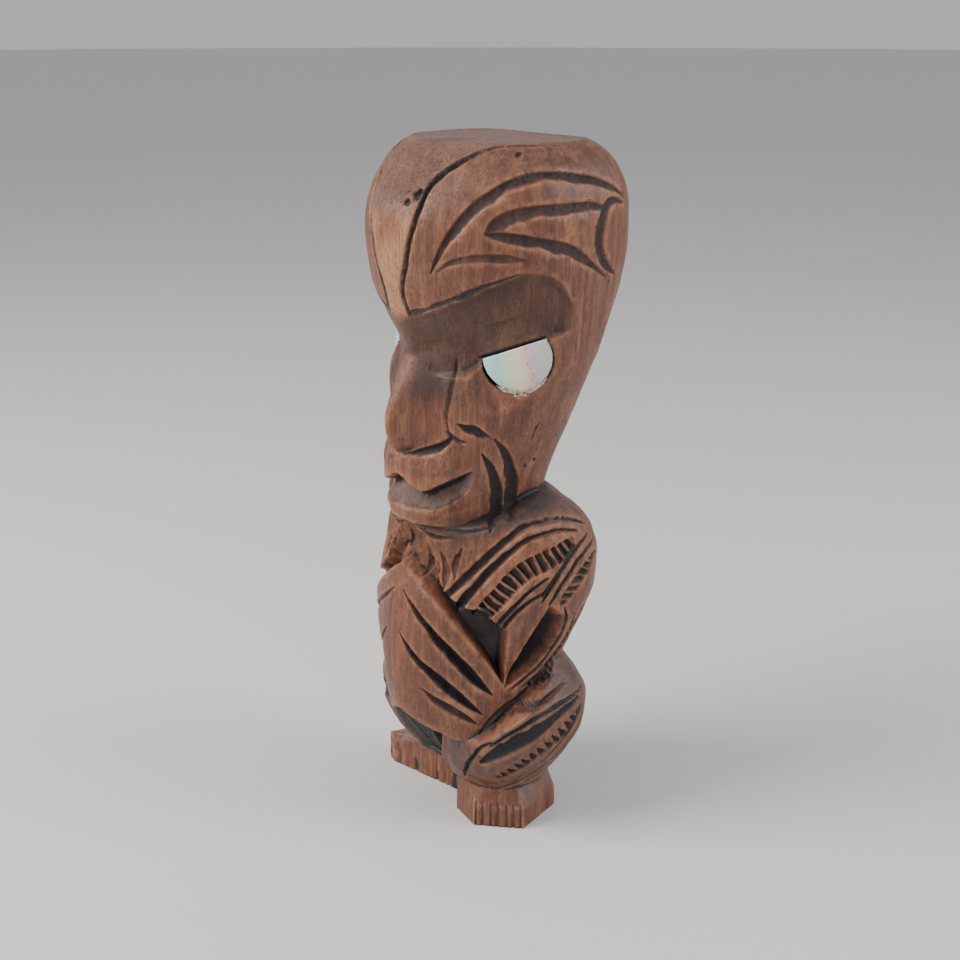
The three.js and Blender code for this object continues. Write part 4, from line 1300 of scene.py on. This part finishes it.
def shell_material():
    """Polished mother-of-pearl: slanting bands of teal, cream, rose and green, finely ribbed."""
    material, m, shader = new_material("Polished eye shell")
    uv = m.add("ShaderNodeTexCoord").outputs["UV"]
    split = m.add("ShaderNodeSeparateXYZ", Vector=uv)
    warp = m.noise(uv, 3.2, 3.0, 0.6)
    across = m.math("ADD", split.outputs["X"], m.math("MULTIPLY", m.math("SUBTRACT", warp, 0.5), 0.16))
    across = m.math("ADD", across, m.math("MULTIPLY", m.math("SUBTRACT", split.outputs["Y"], 0.4), -0.12))
    bands = m.ramp(
        across,
        [
            (0.08, (0.42, 0.72, 0.70)),
            (0.22, (0.34, 0.66, 0.58)),
            (0.31, (0.52, 0.74, 0.50)),
            (0.42, (0.74, 0.72, 0.46)),
            (0.53, (0.80, 0.66, 0.52)),
            (0.64, (0.70, 0.48, 0.46)),
            (0.73, (0.58, 0.48, 0.60)),
            (0.82, (0.55, 0.60, 0.52)),
            (0.95, (0.52, 0.58, 0.46)),
        ],
    )
    ribs = m.noise(uv, 1.0, 3.0, 0.6, (46.0, 5.0, 1.0))
    milky = m.noise(uv, 9.0, 4.0, 0.6)
    colour = m.mix(m.math("MULTIPLY", m.spread(ribs, 0.42, 0.75), 0.35), bands, (0.88, 0.86, 0.78, 1))
    colour = m.mix(m.math("MULTIPLY", m.spread(milky, 0.55, 0.8), 0.4), colour, (0.86, 0.9, 0.86, 1))
    near_red = m.math("SUBTRACT", 1.0, m.spread(m.math("ABSOLUTE", m.math("SUBTRACT", across, 0.63)), 0.01, 0.05))
    flecks = m.math("MULTIPLY", near_red, m.spread(m.noise(uv, 30.0, 2.0, 0.6, (1.6, 0.5, 1.0)), 0.56, 0.66))
    colour = m.mix(m.math("MULTIPLY", flecks, 0.8), colour, (0.20, 0.05, 0.04, 1))
    scuffs = place_group(m, bpy.data.node_groups["Scuffs and specks"], Vector=millimetres(m), Amount=0.5)
    colour = m.mix(m.math("MULTIPLY", scuffs.outputs["Specks"], 0.25), colour, (0.32, 0.30, 0.26, 1))
    m.feed(shader, "Base Color", colour)
    rough = m.math("ADD", 0.14, m.math("MULTIPLY", scuffs.outputs["Scratches"], 0.25))
    m.feed(shader, "Roughness", rough)
    shader.inputs["Specular IOR Level"].default_value = 0.6
    shader.inputs["Coat Weight"].default_value = 0.4
    shader.inputs["Coat Roughness"].default_value = 0.08
    bump = m.add("ShaderNodeBump", Strength=0.35, Distance=0.00012, Height=ribs)
    m.feed(shader, "Normal", bump.outputs[0])
    return material


def putty_material():
    """Old crumbly cream putty, brown where the stain has got into it."""
    material, m, shader = new_material("Crumbly putty")
    where = millimetres(m)
    scuffs = place_group(m, bpy.data.node_groups["Scuffs and specks"], Vector=where, Amount=1.0)
    mottled = m.noise(where, 1.1, 4.0, 0.65)
    colour = m.ramp(mottled, [(0.3, (0.16, 0.10, 0.06)), (0.45, (0.42, 0.33, 0.22)), (0.62, (0.66, 0.58, 0.44))])
    colour = m.mix(m.math("MULTIPLY", scuffs.outputs["Specks"], 0.7), colour, (0.08, 0.05, 0.03, 1))
    m.feed(shader, "Base Color", colour)
    shader.inputs["Roughness"].default_value = 0.85
    bump = m.add("ShaderNodeBump", Strength=0.8, Distance=0.0003, Height=m.noise(where, 3.0, 4.0, 0.7))
    m.feed(shader, "Normal", bump.outputs[0])
    return material


def floor_material(colour):
    """A plain matt pale floor."""
    material, m, shader = new_material("Pale floor")
    m.feed(shader, "Base Color", (*colour, 1))
    shader.inputs["Roughness"].default_value = 0.9
    shader.inputs["Specular IOR Level"].default_value = 0.1
    return material


class TIKI_PG_wood(bpy.types.PropertyGroup):
    """Colours and gloss of the wood."""

    dark_wood: bpy.props.FloatVectorProperty(
        name="Dark grain", description="Colour of the darkest streaks", subtype="COLOR", size=3,
        default=(0.075, 0.026, 0.015), min=0, max=1,
    )
    middle_wood: bpy.props.FloatVectorProperty(
        name="Wood", description="Main colour of the wood", subtype="COLOR", size=3,
        default=(0.165, 0.060, 0.031), min=0, max=1,
    )
    light_wood: bpy.props.FloatVectorProperty(
        name="Light grain", description="Colour of the lightest streaks", subtype="COLOR", size=3,
        default=(0.30, 0.125, 0.066), min=0, max=1,
    )
    worn_wood: bpy.props.FloatVectorProperty(
        name="Worn edges", description="Colour where handling has worn the finish", subtype="COLOR", size=3,
        default=(0.40, 0.165, 0.078), min=0, max=1,
    )
    # This colour is also laid on the painted shade in the gap, the undercuts and the hollows.
    stain_and_shade: bpy.props.FloatVectorProperty(
        name="Stain", description="Colour of the stain in the cuts", subtype="COLOR", size=3,
        default=(0.010, 0.011, 0.015), min=0, max=1,
    )
    roughness: bpy.props.FloatProperty(
        name="Roughness", description="Roughness of the waxed surface", default=0.44, min=0.1, max=1,
    )


class TIKI_PG_studio(bpy.types.PropertyGroup):
    """Floor, camera and lights."""

    floor_radius: bpy.props.FloatProperty(
        name="Floor radius", description="Radius of the round floor", default=8.0, min=1, unit="LENGTH",
    )
    floor_colour: bpy.props.FloatVectorProperty(
        name="Floor colour", description="Colour of the floor", subtype="COLOR", size=3,
        default=(0.72, 0.71, 0.69), min=0, max=1,
    )
    bearing: bpy.props.FloatProperty(
        name="Camera bearing", description="Turn of the camera from the figure's front to its left",
        default=math.radians(51), subtype="ANGLE",
    )
    distance: bpy.props.FloatProperty(
        name="Camera distance", description="Level distance from the figure's axis to the camera",
        default=0.450, min=0.1, unit="LENGTH",
    )
    camera_height: bpy.props.FloatProperty(
        name="Camera height", description="Height of the camera over the floor", default=0.248, unit="LENGTH",
    )
    pitch: bpy.props.FloatProperty(
        name="Camera pitch", description="How far down the camera looks",
        default=math.radians(17.4517), subtype="ANGLE",
    )
    lens: bpy.props.FloatProperty(
        name="Lens", description="Focal length on a sensor 36 mm wide", default=57.4265, min=10,
    )
    key_power: bpy.props.FloatProperty(
        name="Main light", description="Power of the light on the figure's front", default=11.0, min=0, unit="POWER",
    )
    side_power: bpy.props.FloatProperty(
        name="Side light", description="Power of the light on the figure's left back", default=5.0, min=0,
        unit="POWER",
    )
    sky: bpy.props.FloatProperty(
        name="Room light", description="Strength of the even light of the room", default=0.55, min=0,
    )


class TIKI_OT_figure(bpy.types.Operator):
    """Carve the wooden figure"""

    bl_idname = "tiki.figure"
    bl_label = "Carved figure"
    bl_options = {"REGISTER", "UNDO"}

    def execute(self, context):
        obj = figure_mesh()
        obj.data.materials.clear()
        obj.data.materials.append(wood_material(context.scene.tiki_wood))
        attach(obj, "root")
        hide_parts("carved_figure")
        return {"FINISHED"}


class TIKI_OT_eyes(bpy.types.Operator):
    """Make the two half-moon shell eyes"""

    bl_idname = "tiki.eyes"
    bl_label = "Shell eyes"
    bl_options = {"REGISTER", "UNDO"}

    def execute(self, context):
        material = shell_material()
        for side, word in ((1, "left"), (-1, "right")):
            obj = eye_mesh(side, f"{word}_eye_plate")
            obj.data.materials.append(material)
            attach(obj, "root")
            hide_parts(f"{word}_eye_shell")
        return {"FINISHED"}


class TIKI_OT_putty(bpy.types.Operator):
    """Lay the putty that beds the shells"""

    bl_idname = "tiki.putty"
    bl_label = "Putty under the eyes"
    bl_options = {"REGISTER", "UNDO"}

    def execute(self, context):
        material = putty_material()
        for side, word in ((1, "left"), (-1, "right")):
            obj = putty_mesh(side, f"{word}_eye_putty")
            obj.data.materials.append(material)
            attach(obj, "root")
        return {"FINISHED"}


class TIKI_OT_studio(bpy.types.Operator):
    """Set out the pale floor, the soft lights and the camera"""

    bl_idname = "tiki.studio"
    bl_label = "Studio"
    bl_options = {"REGISTER", "UNDO"}

    def execute(self, context):
        studio = context.scene.tiki_studio
        turn = np.linspace(0, 2 * math.pi, 96, endpoint=False)
        rim = np.stack([np.cos(turn), np.sin(turn), 0 * turn], -1) * studio.floor_radius / MM
        floor = link_mesh("pale_floor", rim, [list(range(96))])
        floor.data.materials.append(floor_material(studio.floor_colour))
        self.add_camera(context, studio)
        self.add_light("main_light", -24, 38, 0.95, 0.55, studio.key_power, (1.0, 0.97, 0.93))
        self.add_light("side_light", 128, 30, 0.95, 0.5, studio.side_power, (0.92, 0.96, 1.0))
        world = bpy.data.worlds.new("Even room light")
        world.use_nodes = True
        shade = world.node_tree.nodes["Background"]
        shade.inputs["Color"].default_value = (0.90, 0.92, 0.95, 1)
        shade.inputs["Strength"].default_value = studio.sky
        context.scene.world = world
        return {"FINISHED"}

    def add_camera(self, context, studio):
        """A camera at the given bearing, distance and height, looking down by the pitch."""
        s = math.sin(studio.bearing)
        c = math.cos(studio.bearing)
        ahead = (-s * math.cos(studio.pitch), c * math.cos(studio.pitch), -math.sin(studio.pitch))
        right = (c, s, 0)
        up = np.cross(right, ahead)
        spot = (studio.distance * s, -studio.distance * c, studio.camera_height)
        data = bpy.data.cameras.new("studio_camera")
        data.sensor_width = 36.0
        data.lens = studio.lens
        data.clip_start = 0.01
        data.clip_end = 50.0
        camera = bpy.data.objects.new("studio_camera", data)
        rows = [(right[i], up[i], -ahead[i], spot[i]) for i in range(3)]
        camera.matrix_world = Matrix([*rows, (0, 0, 0, 1)])
        context.scene.collection.objects.link(camera)
        context.scene.camera = camera

    def add_light(self, name, bearing, lift, distance, size, power, colour):
        """A square soft light that faces the middle of the figure."""
        b = math.radians(bearing)
        e = math.radians(lift)
        way = np.array([math.sin(b) * math.cos(e), -math.cos(b) * math.cos(e), math.sin(e)])
        right = np.array([math.cos(b), math.sin(b), 0])
        up = np.cross(way, right)
        spot = way * distance + np.array([0, 0, 0.1])
        data = bpy.data.lights.new(name, "AREA")
        data.size = size
        data.energy = power
        data.color = colour
        light = bpy.data.objects.new(name, data)
        rows = [(right[i], up[i], way[i], spot[i]) for i in range(3)]
        light.matrix_world = Matrix([*rows, (0, 0, 0, 1)])
        bpy.context.scene.collection.objects.link(light)


class TIKI_PT_panel(bpy.types.Panel):
    """Lists the figure's pieces and settings"""

    bl_idname = "TIKI_PT_panel"
    bl_label = "Tiki"
    bl_space_type = "VIEW_3D"
    bl_region_type = "UI"
    bl_category = "Tiki"

    def draw(self, context):
        layout = self.layout
        for name in ("tiki.figure", "tiki.eyes", "tiki.putty", "tiki.studio"):
            layout.operator(name)
        for group in (context.scene.tiki_wood, context.scene.tiki_studio):
            column = layout.column()
            for key in group.__annotations__:
                column.prop(group, key)


CLASSES = (
    TIKI_PG_wood,
    TIKI_PG_studio,
    TIKI_OT_figure,
    TIKI_OT_eyes,
    TIKI_OT_putty,
    TIKI_OT_studio,
    TIKI_PT_panel,
)


def register():
    """Registers the classes and the two groups of settings."""
    for item in CLASSES:
        bpy.utils.register_class(item)
    bpy.types.Scene.tiki_wood = bpy.props.PointerProperty(type=TIKI_PG_wood)
    bpy.types.Scene.tiki_studio = bpy.props.PointerProperty(type=TIKI_PG_studio)


def unregister():
    """Takes the classes and the settings away again."""
    del bpy.types.Scene.tiki_studio
    del bpy.types.Scene.tiki_wood
    for item in reversed(CLASSES):
        bpy.utils.unregister_class(item)


def main():
    """Makes everything in order."""
    register()
    grain_group()
    scuff_group()
    bpy.ops.tiki.figure()
    bpy.ops.tiki.eyes()
    bpy.ops.tiki.putty()
    bpy.ops.tiki.studio()


if __name__ == "__main__":
    main()
